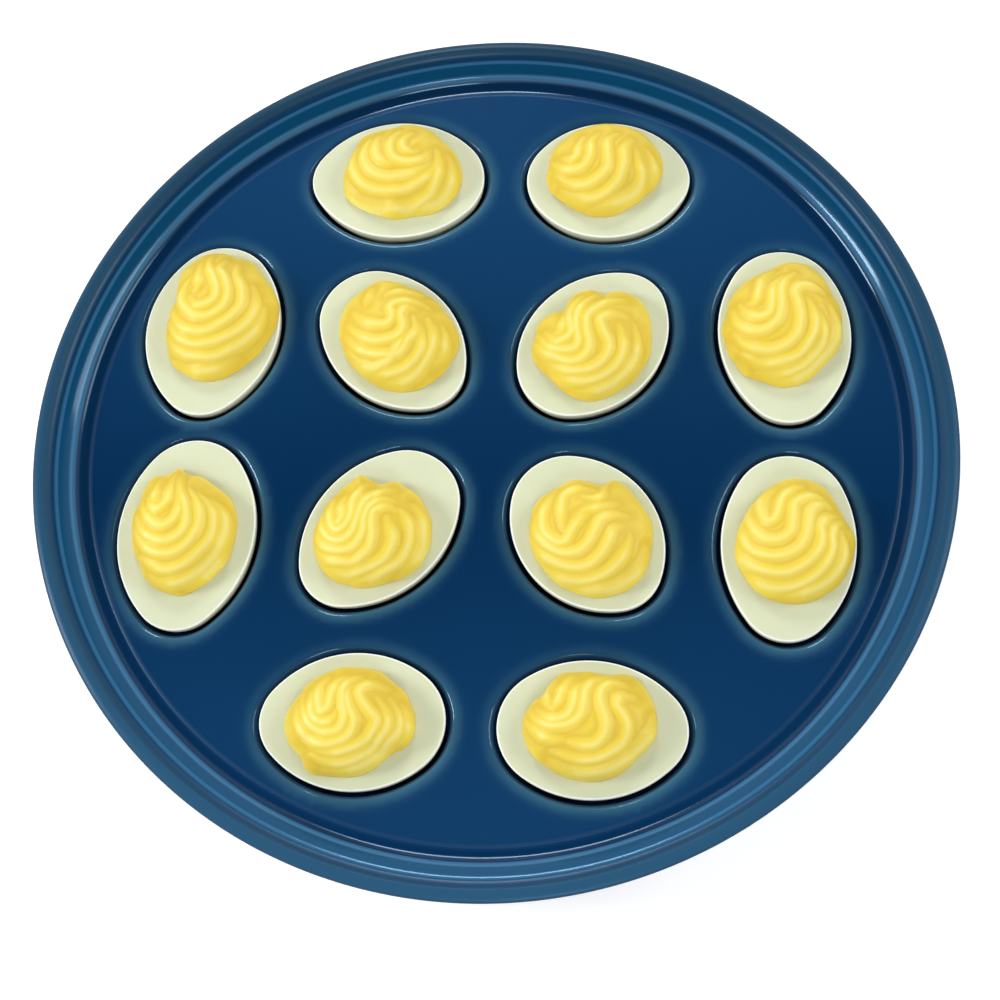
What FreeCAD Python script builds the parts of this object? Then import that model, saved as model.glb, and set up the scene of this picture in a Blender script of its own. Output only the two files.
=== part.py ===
import FreeCAD, Part
import math
import os
import Sketcher
from FreeCAD import Placement, Rotation, Vector

# Deviled egg platter
# A round dish moulded in one piece, with a stepped rim, twelve egg-shaped wells and a foot ring.
# Each well holds a boiled egg half, cut face up, and each egg half carries a piped rosette whose
# plug fills the socket of the yolk.
# Frame: +Z up, origin on the table under the middle of the dish, +Y to the far side. Millimetres.

# Driving sizes

SIZES = {
    # The wells, and how the eggs stand in them.
    "well_gap": 1.6,
    "well_edge_round": 2.6,
    "seat_gap": 0.2,
    "face_rise": 1.2,
    # Flat floor left between two wells of a pair, between the inner wells, between the inner and
    # the outer ring, and between the outer ring and the groove of the rim.
    "pair_land": 0.1,
    "inner_land": 2.5,
    "ring_land": 3.0,
    "rim_land": 0.5,
    # The rim, from the floor outwards: a groove that climbs to the first step, a cone that climbs
    # to the second, a cove that climbs to the lip, and the lip. Heights are above the floor.
    "groove_width": 5.7,
    "groove_radius": 4.0,
    "step_1_height": 2.5,
    "step_1_round": 1.1,
    "cone_width": 4.3,
    "step_2_height": 5.5,
    "cove_width": 3.4,
    "cove_radius": 4.5,
    "lip_width": 4.1,
    "lip_height": 8.0,
    "lip_fall": 0.4,
    "lip_thickness": 2.2,
    "lip_nose_radius": 1.2,
    "lip_crown_radius": 5.0,
    "edge_round": 0.45,
    # The wall under it, and how far outside the floor the underside turns up to the lip.
    "wall": 2.8,
    "turn_up": 4.2,
    "lip_overhang": 4.8,
    # The foot ring, measured outwards from the edge of the floor.
    "foot_offset": 0.6,
    "foot_width": 3.2,
    "foot_draft": 1.4,
    "foot_round": 0.8,
    "foot_clearance": 0.8,
    # The egg halves and the sockets of their yolks.
    "blunt_radius": 18.5,
    "tip_radius": 15.0,
    "socket_radius": 14.0,
    "socket_depth": 11.0,
    "plug_gap": 0.2,
    "cut_edge_round": 0.6,
    # The piped rosettes.
    "rosette_height": 13.5,
    "flute_depth": 1.7,
}

# Flutes round each rosette.
FLUTES = 10

# One row for each egg, clockwise from the upper left in the outer ring, then the inner four:
# sides of the platter it lies on, ring, direction of its pointed end, length, how far its sides
# swell out beyond the radius of its blunt end, shift of its rosette from its middle along X and Y,
# and the rosette's length, width and turn.
EGGS = (
    ((-1, 1), "far", 180, 62.0, 5.2, 1.6, 0.6, 43.5, 37.5, 0),
    ((1, 1), "far", 0, 57.4, 4.9, -0.8, 1.2, 41.0, 36.5, 8),
    ((1, 1), "side", 273, 63.8, 3.6, -0.3, 1.6, 44.5, 38.0, 84),
    ((1, -1), "side", 267, 62.5, 2.9, 1.2, 0.2, 42.0, 36.5, 96),
    ((1, -1), "far", 0, 59.2, 3.2, -0.8, 0.6, 41.5, 35.0, 14),
    ((-1, -1), "far", 182, 58.9, 3.4, -0.4, -0.9, 40.5, 34.5, 12),
    ((-1, -1), "side", 269, 66.5, 4.6, -0.6, -0.7, 43.5, 36.0, 102),
    ((-1, 1), "side", 266, 64.8, 5.05, 1.6, 2.0, 46.5, 38.5, 92),
    ((-1, 1), "inner", 314, 60.0, 3.6, 0.8, 0.0, 44.0, 37.5, 135),
    ((1, 1), "inner", 51, 60.0, 4.7, -0.6, -1.7, 42.0, 37.5, 48),
    ((1, -1), "inner", 310, 58.7, 4.55, 0.7, -1.6, 41.5, 36.5, 139),
    ((-1, -1), "inner", 230, 61.4, 3.85, -1.2, -2.0, 40.5, 36.5, 38),
)

EGG_FIELDS = (
    "turn", "length", "swell", "shift_x", "shift_y",
    "rosette_length", "rosette_width", "rosette_turn",
)

# How closely an edge has to match a height or a radius to be picked by it.
MATCH = 0.001

doc = FreeCAD.newDocument("DeviledEggPlatter")


# The sheet of sizes

sheet = doc.addObject("Spreadsheet::Sheet", "Sizes")
rows = dict(SIZES)
for number, egg in enumerate(EGGS, 1):
    for field, value in zip(EGG_FIELDS, egg[2:]):
        rows[f"egg_{number}_{field}"] = value
for row, (alias, value) in enumerate(rows.items(), 1):
    sheet.set(f"A{row}", alias)
    sheet.set(f"B{row}", str(value))
    sheet.setAlias(f"B{row}", alias)
doc.recompute()

# What follows from the sizes. The dish grows from its eggs: the floor clears the table under the
# deepest well, the cut faces stand a little above the floor, and each well is turned about a line a
# little higher still, so that it is wider than its egg at the mouth and meets it at the bottom. The
# wells stand apart by the room that the largest egg needs, and the rim stands round them.


def largest(field):
    """A formula for the largest value of a field of the eggs."""
    values = "; ".join(f"Sizes.egg_{number}_{field}" for number in range(1, len(EGGS) + 1))
    return f"max({values})"


# Half the length and half the width of the largest well, its rounded mouth included, and how far
# it reaches sideways when it lies at 45 degrees.
FOLLOWING = {
    "half_length": f"{largest('length')} / 2 + Sizes.well_gap + Sizes.well_edge_round",
    "half_width": f"Sizes.blunt_radius + {largest('swell')}"
                  " + Sizes.well_gap + Sizes.well_edge_round",
    "diagonal": "sqrt((Layout.half_length^2 + Layout.half_width^2) / 2)",
    "outer_side": "Layout.half_length + Sizes.pair_land / 2",
    "inner_side": "Layout.diagonal + Sizes.inner_land / 2",
    "outer_reach": "Layout.inner_side + Layout.diagonal + Sizes.ring_land + Layout.half_width",
    "outer_middle": "hypot(Layout.outer_side; Layout.outer_reach)",
    "floor_radius": "Layout.outer_middle + Sizes.rim_land"
                    " + hypot(Layout.half_length * Layout.outer_side;"
                    " Layout.half_width * Layout.outer_reach) / Layout.outer_middle",
    "step_1_radius": "Layout.floor_radius + Sizes.groove_width",
    "step_2_radius": "Layout.step_1_radius + Sizes.cone_width",
    "lip_radius": "Layout.step_2_radius + Sizes.cove_width",
    "platter_radius": "Layout.lip_radius + Sizes.lip_width",
    "foot_radius": "Layout.floor_radius + Sizes.foot_offset",
    "floor_top": "Sizes.foot_clearance + Sizes.wall + Sizes.seat_gap - Sizes.face_rise"
                 f" + Sizes.blunt_radius + {largest('swell')}",
    "cut_face": "Layout.floor_top + Sizes.face_rise",
    "well_axis": "Layout.cut_face + Sizes.well_gap - Sizes.seat_gap",
}
layout = doc.addObject("App::VarSet", "Layout")
for name, formula in FOLLOWING.items():
    layout.addProperty("App::PropertyFloat", name, "Following")
    layout.setExpression(name, formula)
    doc.recompute()
    print(f"{name} {getattr(layout, name):.3f}")


# Helpers for sketches and bodies

def value_of(formula):
    """The number that a formula gives with the present sizes."""
    result = sheet.evalExpression(formula)
    return float(getattr(result, "Value", result))


def new_body(label):
    """A body for one sub-part, named as its node."""
    body = doc.addObject("PartDesign::Body", label)
    body.Label = label
    body.Placement = Placement()
    return body


def origin_plane(body, role):
    """One of the body's own base planes."""
    for feature in body.Origin.OriginFeatures:
        if feature.Role == role:
            return feature
    raise ValueError(f"no plane {role}")


def new_sketch(body, name, role, offset=None, turn=None):
    """A sketch on a base plane, moved by formulas for X, Y and Z and turned about its normal."""
    sketch = body.newObject("Sketcher::SketchObject", name)
    sketch.AttachmentSupport = [(origin_plane(body, role), "")]
    sketch.MapMode = "FlatFace"
    for axis, formula in zip("xyz", offset or ()):
        sketch.setExpression(f"AttachmentOffset.Base.{axis}", formula)
    if turn:
        sketch.AttachmentOffset = Placement(Vector(), Rotation(Vector(0, 0, 1), 1))
        sketch.setExpression("AttachmentOffset.Rotation.Angle", turn)
    return sketch


def drive(sketch, constraint, formula):
    """Adds a constraint whose size follows a formula."""
    index = sketch.addConstraint(constraint)
    sketch.setExpression(f"Constraints[{index}]", formula)


def pin_point(sketch, curve, end, x, y):
    """Places one end of a curve at X and Y formulas, measured from the sketch's origin."""
    drive(sketch, Sketcher.Constraint("DistanceX", -1, 1, curve, end, value_of(x)), x)
    drive(sketch, Sketcher.Constraint("DistanceY", -1, 1, curve, end, value_of(y)), y)


def arc_between(start, end, radius, bulge):
    """An arc that joins two points. It bends to the left of the way from start to end where bulge
    is 1, and to the right where it is -1."""
    chord = end - start
    side = Vector(-chord.y, chord.x, 0).normalize() * bulge
    centre = (start + end) / 2 - side * math.sqrt(max(radius ** 2 - chord.Length ** 2 / 4, 0))
    first, last = (end, start) if bulge > 0 else (start, end)
    angles = [math.atan2(point.y - centre.y, point.x - centre.x) for point in (first, last)]
    return Part.ArcOfCircle(Part.Circle(centre, Vector(0, 0, 1), radius), *angles)


def draw_outline(sketch, corners):
    """A closed outline. A corner is its X and Y formulas, and where an arc leads on to the next
    corner also the formula of the arc's radius and the side it bends to."""
    points = [Vector(value_of(corner[0]), value_of(corner[1]), 0) for corner in corners]
    ends = []
    for index, corner in enumerate(corners):
        start, end = points[index], points[(index + 1) % len(points)]
        if len(corner) > 2:
            radius = value_of(corner[2])
            curve = sketch.addGeometry(arc_between(start, end, radius, corner[3]), False)
            # An arc runs anticlockwise in a sketch, so one that bends to the left is drawn from
            # its far end.
            ends.append((curve, 2, 1) if corner[3] > 0 else (curve, 1, 2))
            drive(sketch, Sketcher.Constraint("Radius", curve, radius), corner[2])
        else:
            curve = sketch.addGeometry(Part.LineSegment(start, end), False)
            ends.append((curve, 1, 2))
    for index, corner in enumerate(corners):
        curve, first, _ = ends[index]
        before, _, last = ends[index - 1]
        sketch.addConstraint(Sketcher.Constraint("Coincident", before, last, curve, first))
        pin_point(sketch, curve, first, corner[0], corner[1])


def turn_about(body, kind, name, sketch, axis, angle=360, reverse=False):
    """A revolution or a groove of a sketch about one of its own axes."""
    feature = body.newObject(f"PartDesign::{kind}", name)
    feature.Profile = sketch
    feature.ReferenceAxis = (sketch, [axis])
    feature.Angle = angle
    feature.Reversed = reverse
    sketch.Visibility = False
    body.Tip = feature
    doc.recompute()
    return feature


# The outline of an egg, pointed end on +X: a blunt arc, a long side arc and a tip arc, each tangent
# to the next, above the line that the egg is turned about.

def side_arc(length, half_width, blunt, tip):
    """Where the middle of the side arc lies along the egg, and its radius."""
    to_blunt = length / 2 - blunt
    to_tip = length / 2 - tip
    # The middle lies at slope * radius + start, because the arc is tangent to both end arcs. That
    # it also touches the blunt arc at the given width leaves one quadratic in the radius.
    slope = (tip - blunt) / (to_blunt + to_tip)
    start = (blunt ** 2 - tip ** 2 - to_blunt ** 2 + to_tip ** 2) / (2 * (to_blunt + to_tip))
    linear = half_width - blunt - slope * (start + to_blunt)
    constant = (start + to_blunt) ** 2 + half_width ** 2 - blunt ** 2
    radius = constant / (linear + math.sqrt(linear ** 2 - slope ** 2 * constant))
    return slope * radius + start, radius


def draw_egg(sketch, number, margin):
    """Half an egg's outline, larger than the egg by a margin all round."""
    length = f"Sizes.egg_{number}_length / 2 + {margin}"
    width = f"Sizes.blunt_radius + Sizes.egg_{number}_swell + {margin}"
    blunt = f"Sizes.blunt_radius + {margin}"
    tip = f"Sizes.tip_radius + {margin}"
    half_length, half_width = value_of(length), value_of(width)
    blunt_radius, tip_radius = value_of(blunt), value_of(tip)
    middle, side_radius = side_arc(2 * half_length, half_width, blunt_radius, tip_radius)
    side_centre = Vector(middle, half_width - side_radius, 0)
    blunt_centre = Vector(blunt_radius - half_length, 0, 0)
    tip_centre = Vector(half_length - tip_radius, 0, 0)
    to_blunt = math.atan2(blunt_centre.y - side_centre.y, blunt_centre.x - side_centre.x)
    to_tip = math.atan2(tip_centre.y - side_centre.y, tip_centre.x - side_centre.x)

    def arc(centre, radius, start, end):
        circle = Part.Circle(centre, Vector(0, 0, 1), radius)
        return sketch.addGeometry(Part.ArcOfCircle(circle, start, end), False)

    blunt_arc = arc(blunt_centre, blunt_radius, to_blunt, math.pi)
    long_arc = arc(side_centre, side_radius, to_tip, to_blunt)
    tip_arc = arc(tip_centre, tip_radius, 0, to_tip)
    axis = sketch.addGeometry(
        Part.LineSegment(Vector(-half_length, 0, 0), Vector(half_length, 0, 0)), False)
    crown = sketch.addGeometry(Part.Point(Vector(middle, half_width, 0)), True)
    for constraint in (
        Sketcher.Constraint("Tangent", tip_arc, 2, long_arc, 1),
        Sketcher.Constraint("Tangent", long_arc, 2, blunt_arc, 1),
        Sketcher.Constraint("Coincident", blunt_arc, 2, axis, 1),
        Sketcher.Constraint("Coincident", tip_arc, 1, axis, 2),
        Sketcher.Constraint("PointOnObject", axis, 1, -1),
        Sketcher.Constraint("PointOnObject", axis, 2, -1),
        Sketcher.Constraint("PointOnObject", blunt_arc, 3, -1),
        Sketcher.Constraint("PointOnObject", tip_arc, 3, -1),
        Sketcher.Constraint("PointOnObject", crown, 1, long_arc),
        Sketcher.Constraint("Vertical", crown, 1, long_arc, 3),
    ):
        sketch.addConstraint(constraint)
    drive(sketch, Sketcher.Constraint("Radius", blunt_arc, blunt_radius), blunt)
    drive(sketch, Sketcher.Constraint("Radius", tip_arc, tip_radius), tip)
    drive(sketch, Sketcher.Constraint("DistanceX", -1, 1, axis, 2, half_length), length)
    drive(sketch, Sketcher.Constraint("DistanceX", axis, 1, -1, 1, half_length), length)
    drive(sketch, Sketcher.Constraint("DistanceY", -1, 1, crown, 1, half_width), width)


def egg_place(number):
    """X and Y formulas of an egg's middle."""
    (side_x, side_y), ring = EGGS[number - 1][:2]
    reach = {
        "far": ("Layout.outer_side", "Layout.outer_reach"),
        "side": ("Layout.outer_reach", "Layout.outer_side"),
        "inner": ("Layout.inner_side", "Layout.inner_side"),
    }[ring]
    return f"{side_x} * {reach[0]}", f"{side_y} * {reach[1]}"


def rosette_place(number):
    """X and Y formulas of the middle of an egg's rosette and of the socket under it."""
    x, y = egg_place(number)
    return f"{x} + Sizes.egg_{number}_shift_x", f"{y} + Sizes.egg_{number}_shift_y"


def egg_half(body, kind, name, number, height, margin):
    """Half an egg below a height, added to a body or cut from it."""
    x, y = egg_place(number)
    sketch = new_sketch(body, f"{name}_outline_{number}", "XY_Plane",
                        (x, y, height), f"Sizes.egg_{number}_turn")
    draw_egg(sketch, number, margin)
    return turn_about(body, kind, f"{name}_{number}", sketch, "H_Axis", 180, True)


# The platter

def draw_dish(sketch):
    """Half a section through the dish: underside, foot ring, lip, two steps, groove and floor."""
    floor = "Layout.floor_top"
    under = f"{floor} - Sizes.wall"
    crown = f"{floor} + Sizes.lip_height"
    edge = f"{crown} - Sizes.lip_fall"
    below = f"{edge} - Sizes.lip_thickness"
    bow = "Sizes.lip_nose_radius - sqrt(Sizes.lip_nose_radius^2 - Sizes.lip_thickness^2 / 4)"
    nose = f"Layout.platter_radius - ({bow})"
    inner_foot = "Layout.foot_radius - Sizes.foot_width"
    draw_outline(sketch, (
        ("0", under),
        (f"{inner_foot} - Sizes.foot_draft", under),
        (inner_foot, "0"),
        ("Layout.foot_radius", "0"),
        ("Layout.foot_radius + Sizes.foot_draft", under),
        ("Layout.floor_radius + Sizes.turn_up", under),
        ("Layout.platter_radius - Sizes.lip_overhang", below),
        (nose, below, "Sizes.lip_nose_radius", -1),
        (nose, edge, "Sizes.lip_crown_radius", -1),
        ("Layout.lip_radius", crown, "Sizes.cove_radius", 1),
        ("Layout.step_2_radius", f"{floor} + Sizes.step_2_height"),
        ("Layout.step_1_radius", f"{floor} + Sizes.step_1_height", "Sizes.groove_radius", 1),
        ("Layout.floor_radius", floor),
        ("0", floor),
    ))


def rings_at(shape, places):
    """Names of the edges that are circles round the middle, at the given radii and heights."""
    names = []
    for index, edge in enumerate(shape.Edges, 1):
        curve = edge.Curve
        if not isinstance(curve, Part.Circle):
            continue
        for radius, height in places:
            if abs(curve.Radius - radius) < MATCH and abs(curve.Center.z - height) < MATCH:
                names.append(f"Edge{index}")
    return names


def is_level(edge, height):
    """Whether the whole edge lies at a height."""
    box = edge.BoundBox
    return abs(box.ZMin - height) < MATCH and abs(box.ZMax - height) < MATCH


def mouths(shape, height):
    """Names of the edges round the wells' mouths: level with the floor, but not its own rings."""
    names = []
    for index, edge in enumerate(shape.Edges, 1):
        if not is_level(edge, height) or edge.Degenerated:
            continue
        middle = edge.CenterOfMass
        if math.hypot(middle.x, middle.y) > MATCH:
            names.append(f"Edge{index}")
    return names


def round_edges(body, name, base, names, radius):
    """A fillet whose radius follows a formula."""
    fillet = body.newObject("PartDesign::Fillet", name)
    fillet.Base = (base, names)
    fillet.setExpression("Radius", radius)
    body.Tip = fillet
    doc.recompute()
    return fillet


def make_platter():
    body = new_body("platter")
    section = new_sketch(body, "dish_section", "XZ_Plane")
    draw_dish(section)
    dish = turn_about(body, "Revolution", "dish", section, "V_Axis")

    floor = value_of("Layout.floor_top")
    ring = rings_at(dish.Shape, (
        (value_of("Layout.step_1_radius"), floor + value_of("Sizes.step_1_height")),
    ))
    dish = round_edges(body, "step_1_edge", dish, ring, "Sizes.step_1_round")
    rings = rings_at(dish.Shape, (
        (value_of("Layout.floor_radius"), floor),
        (value_of("Layout.step_2_radius"), floor + value_of("Sizes.step_2_height")),
        (value_of("Layout.lip_radius"), floor + value_of("Sizes.lip_height")),
    ))
    dish = round_edges(body, "rim_edges", dish, rings, "Sizes.edge_round")
    rings = rings_at(dish.Shape, (
        (value_of("Layout.foot_radius"), 0),
        (value_of("Layout.foot_radius - Sizes.foot_width"), 0),
    ))
    round_edges(body, "foot_edges", dish, rings, "Sizes.foot_round")

    # The wells show under the floor as bulges of the same wall. Their tops are taken off along the
    # floor and the groove before the wells are cut.
    for number in range(1, len(EGGS) + 1):
        egg_half(body, "Revolution", "bulge", number, "Layout.well_axis",
                 "Sizes.well_gap + Sizes.wall")
    trim = new_sketch(body, "trim_section", "XZ_Plane")
    above = "Layout.well_axis + Sizes.wall"
    draw_outline(trim, (
        ("0", "Layout.floor_top"),
        ("Layout.floor_radius", "Layout.floor_top"),
        ("Layout.floor_radius", above),
        ("0", above),
    ))
    turn_about(body, "Groove", "trim", trim, "V_Axis")
    for number in range(1, len(EGGS) + 1):
        cut = egg_half(body, "Groove", "well", number, "Layout.well_axis", "Sizes.well_gap")
    round_edges(body, "well_edges", cut, mouths(cut.Shape, floor), "Sizes.well_edge_round")


# The egg halves

def draw_cup(sketch, radius, depth):
    """Half a section through a round cup whose mouth is level with the sketch's origin."""
    round_radius = f"(({radius})^2 + ({depth})^2) / (2 * ({depth}))"
    draw_outline(sketch, (
        ("0", f"-({depth})", round_radius, -1),
        (radius, "0"),
        ("0", "0"),
    ))


def cut_rim(shape, height, socket_radius):
    """Names of the edges round a cut face, without the socket's own."""
    names = []
    for index, edge in enumerate(shape.Edges, 1):
        if not is_level(edge, height) or edge.Degenerated:
            continue
        if abs(edge.Curve.Radius - socket_radius) > MATCH:
            names.append(f"Edge{index}")
    return names


def make_egg_white(number):
    body = new_body(f"egg_white_{number}")
    egg_half(body, "Revolution", "white", number, "Layout.cut_face", "0")
    x, y = rosette_place(number)
    socket = new_sketch(body, f"socket_section_{number}", "XZ_Plane",
                        (x, "Layout.cut_face", f"-({y})"))
    draw_cup(socket, "Sizes.socket_radius", "Sizes.socket_depth")
    half = turn_about(body, "Groove", f"socket_{number}", socket, "V_Axis")
    rim = cut_rim(half.Shape, value_of("Layout.cut_face"), value_of("Sizes.socket_radius"))
    round_edges(body, f"cut_edge_{number}", half, rim, "Sizes.cut_edge_round")


# The piped rosettes
# Each is a loft through sections with one rounded lobe for each flute. The sections shrink towards
# the tip and turn a little at a time, so that the flutes wind up the dome.

# Height and size of each section as parts of the whole.
STATIONS = ((0, 0.96), (0.2, 1), (0.42, 0.92), (0.62, 0.75), (0.79, 0.53), (0.92, 0.29), (1, 0.08))
# How far each section is turned from the one below it, in degrees.
TURN_EACH = 17
# How near the middle of a lobe's chord lies, as part of the distance of its two corners.
LOBE_REACH = math.cos(math.pi / FLUTES)


def draw_lobes(sketch, number, size, spin):
    """A closed ring of rounded lobes, one for each flute."""
    corners = []
    for lobe in range(FLUTES):
        angle = f"({spin + 360 * lobe / FLUTES} deg)"
        corners.append(tuple(
            f"{size / LOBE_REACH} * (Sizes.egg_{number}_rosette_{side} / 2 - Sizes.flute_depth)"
            f" * {wave}{angle}"
            for side, wave in (("length", "cos"), ("width", "sin"))))
    lobes = []
    depth = f"{size} * Sizes.flute_depth"
    for index, (x, y) in enumerate(corners):
        next_x, next_y = corners[(index + 1) % FLUTES]
        half = f"hypot({next_x} - {x}; {next_y} - {y}) / 2"
        lobes.append((x, y, f"(({half})^2 + ({depth})^2) / (2 * {depth})", -1))
    draw_outline(sketch, lobes)


def make_egg_filling(number):
    body = new_body(f"egg_filling_{number}")
    x, y = rosette_place(number)
    plug = new_sketch(body, f"plug_section_{number}", "XZ_Plane",
                      (x, "Layout.cut_face", f"-({y})"))
    draw_cup(plug, "Sizes.socket_radius - Sizes.plug_gap", "Sizes.socket_depth - Sizes.plug_gap")
    turn_about(body, "Revolution", f"plug_{number}", plug, "V_Axis")
    sections = []
    for index, (height, size) in enumerate(STATIONS):
        sketch = new_sketch(body, f"lobes_{number}_{index}", "XY_Plane",
                            (x, y, f"Layout.cut_face + {height} * Sizes.rosette_height"),
                            f"Sizes.egg_{number}_rosette_turn")
        draw_lobes(sketch, number, size, TURN_EACH * index)
        sketch.Visibility = False
        sections.append(sketch)
    doc.recompute()
    dome = body.newObject("PartDesign::AdditiveLoft", f"dome_{number}")
    dome.Profile = sections[0]
    dome.Sections = sections[1:]
    body.Tip = dome
    doc.recompute()


make_platter()
for number in range(1, len(EGGS) + 1):
    make_egg_white(number)
    make_egg_filling(number)
doc.recompute()


# Nothing is written unless every object is sound

for item in doc.Objects:
    if "Invalid" in item.State or "Error" in item.State:
        raise RuntimeError(f"{item.Name} is not sound: {item.State}")
bodies = [item for item in doc.Objects if item.TypeId == "PartDesign::Body"]
for body in bodies:
    if body.Shape.isNull() or not body.Shape.isValid() or len(body.Shape.Solids) != 1:
        raise RuntimeError(f"{body.Label} has no sound solid")
os.makedirs("parts", exist_ok=True)
for body in bodies:
    body.Shape.exportStep(f"parts/{body.Label}.step")
    box = body.Shape.BoundBox
    print(f"{body.Label}: volume {body.Shape.Volume:.0f}, height {box.ZMin:.2f} to {box.ZMax:.2f}")
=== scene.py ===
# %% [markdown]
# # A platter of deviled eggs
# The real thing is a round dish of glossy navy melamine with a stepped rim and twelve egg-shaped
# wells. A halved boiled egg lies in each well, with its yolk piped back on top as a twirled rosette.
# The egg halves come from the CAD model as they are and only get their finish. The dish keeps the
# shape of the CAD model, but as a finer skin. The fillings are soft, so each is modelled here as a
# twirled, ridged dome.

# %% Load the CAD model
import math

import bpy
import numpy as np
from mathutils import Matrix, Vector
from mathutils.geometry import delaunay_2d_cdt
from mathutils.kdtree import KDTree


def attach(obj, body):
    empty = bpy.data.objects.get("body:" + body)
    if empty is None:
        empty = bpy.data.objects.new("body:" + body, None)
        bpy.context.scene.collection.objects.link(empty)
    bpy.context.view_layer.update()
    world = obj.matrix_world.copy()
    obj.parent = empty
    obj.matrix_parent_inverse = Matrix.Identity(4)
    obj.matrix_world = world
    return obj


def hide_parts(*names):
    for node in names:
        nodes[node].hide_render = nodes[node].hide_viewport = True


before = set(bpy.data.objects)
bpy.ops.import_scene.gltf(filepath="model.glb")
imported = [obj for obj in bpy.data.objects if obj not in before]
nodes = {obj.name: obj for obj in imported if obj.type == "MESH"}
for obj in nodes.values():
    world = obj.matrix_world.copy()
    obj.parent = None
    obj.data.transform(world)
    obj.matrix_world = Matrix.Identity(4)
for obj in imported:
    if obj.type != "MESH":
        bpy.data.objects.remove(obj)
EGGS = sum(name.startswith("egg_white_") for name in nodes)
MM = 0.001
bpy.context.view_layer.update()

# %% [markdown]
# ## Small tools for the finishes
# A finish is a node tree. Colours are written as the hex codes that a designer would note down, and
# one function turns them to the linear values that Blender renders with. A second one adds a node
# with its settings and links, and a few short ones add the nodes that every finish needs, which
# keeps each finish readable as a recipe.

# %% Colours and nodes


def linear(code):
    """The linear RGBA of an sRGB hex colour such as 1f3a5f."""
    channels = [int(code[index:index + 2], 16) / 255 for index in (0, 2, 4)]
    return [((c + 0.055) / 1.055) ** 2.4 if c > 0.04045 else c / 12.92 for c in channels] + [1]


def add(tree, kind, sockets=(), **settings):
    """Adds a node. Each socket gets a value or the output of another node."""
    node = tree.nodes.new("ShaderNode" + kind)
    for name, value in settings.items():
        setattr(node, name, value)
    for socket, value in dict(sockets).items():
        if isinstance(value, bpy.types.NodeSocket):
            tree.links.new(value, node.inputs[socket])
        else:
            node.inputs[socket].default_value = value
    return node


def compute(tree, operation, first, second=0.0, **settings):
    """The outcome of a sum on one or two values."""
    return add(tree, "Math", {0: first, 1: second}, operation=operation, **settings).outputs[0]


def mapped(tree, value, low, high, to_low=0.0, to_high=1.0, **settings):
    """A value carried over from one span to another, and held at its ends."""
    return add(tree, "MapRange", {"Value": value, "From Min": low, "From Max": high,
                                  "To Min": to_low, "To Max": to_high},
               **settings).outputs["Result"]


def mixed(tree, factor, first, second):
    """A colour between two others."""
    return add(tree, "Mix", {"Factor": factor, "A": first, "B": second},
               data_type="RGBA").outputs["Result"]


def noise(tree, place, size, detail, distortion=0.0):
    """Cloudy noise with spots of about the given size."""
    return add(tree, "TexNoise", {"Vector": place, "Scale": 1 / size, "Detail": detail,
                                  "Distortion": distortion}).outputs["Fac"]


def bumped(tree, height, strength, distance):
    """Normals that follow a height."""
    return add(tree, "Bump", {"Height": height, "Strength": strength,
                              "Distance": distance}).outputs["Normal"]


def new_finish(name):
    """An empty material and its node tree, ready for a recipe."""
    finish = bpy.data.materials.new(name)
    finish.use_nodes = True
    finish.node_tree.nodes.clear()
    return finish, finish.node_tree


def give(finish, shader):
    """Wires a shader to the finish's surface."""
    output = add(finish.node_tree, "OutputMaterial")
    finish.node_tree.links.new(shader.outputs[0], output.inputs["Surface"])


# %% [markdown]
# ## The dish: moulded melamine
# Melamine is pressed in a polished steel mould, so it is smooth and glossy with a very faint
# waviness, and its colour goes right through. The eye reads it from sharp reflections of the lamps
# along the rounded edges, while the flat floor stays dark. The navy is deepest across the middle of
# the floor and is painted lighter to its far and near sides, as painted light. Across the rim, the
# steel blue of the lip is a painted reflection, the dark groove and cove beside it are painted shade,
# the pale edges of the two steps are painted highlights, and the whole rim is painted lighter on the
# near side. The bent mouths of the wells get a pale painted highlight. Fine swirled wipe marks soften
# the gloss a little. A principled shader with a faintly cool gloss does this, and noises make the
# faint clouds, the waviness and the uneven polish. How strong the painted highlight round the mouths
# is comes from a value stored on the mesh.

# %% Navy melamine
# The floor's deep navy, a lighter navy painted on its far and near sides as painted light, and a pale
# navy that is the painted highlight round the mouths of the wells.
DEEP_NAVY, PAINTED_LIGHT_NAVY, MOUTH_HIGHLIGHT_NAVY = "032b51", "123e68", "4f8498"
CLOUD_SIZE, CLOUDINESS = 60 * MM, 0.1
# Where the floor is darkest, and how far from there its painted light reaches full strength.
DEEPEST_LINE, PAINTED_LIGHT_REACH = -25 * MM, 130 * MM
RIM_FROM, RIM_TO, RIM_FADE = 135.5 * MM, 153 * MM, 1.2 * MM
OUTER_FROM, OUTER_TO = 145.2 * MM, 146.2 * MM
LIP_FROM, LIP_TO = 147 * MM, 148.5 * MM
# Colours across the rim by the distance from the middle of the dish in millimetres. The pale bands
# on the edges of the two steps are painted highlights, the dark bands in the groove, in the cove and
# at the lip's edge are painted shade, and the steel blue of the lip is a painted reflection.
RIM_COLOURS = (
    (139.7, "042b50"), (140.3, "3b6f99"), (140.9, "3b6f99"), (141.6, "08446a"),
    (144.2, "08446a"), (144.6, "2f6288"), (145.2, "2f6288"), (145.8, "0a3759"),
    (147.2, "0a3759"), (148.3, "264e6c"), (151.6, "264e6c"), (152.3, "1b3d5a"),
)
# How light these are on the near side, and on the far side up to the lip and on it: painted light
# on the near side and painted shade on the far side.
NEAR_SIDE, FAR_SIDE = -150 * MM, 150 * MM
NEAR_TONE, FAR_TONE, FAR_LIP_TONE = 1.18, 0.8, 0.6
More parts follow.
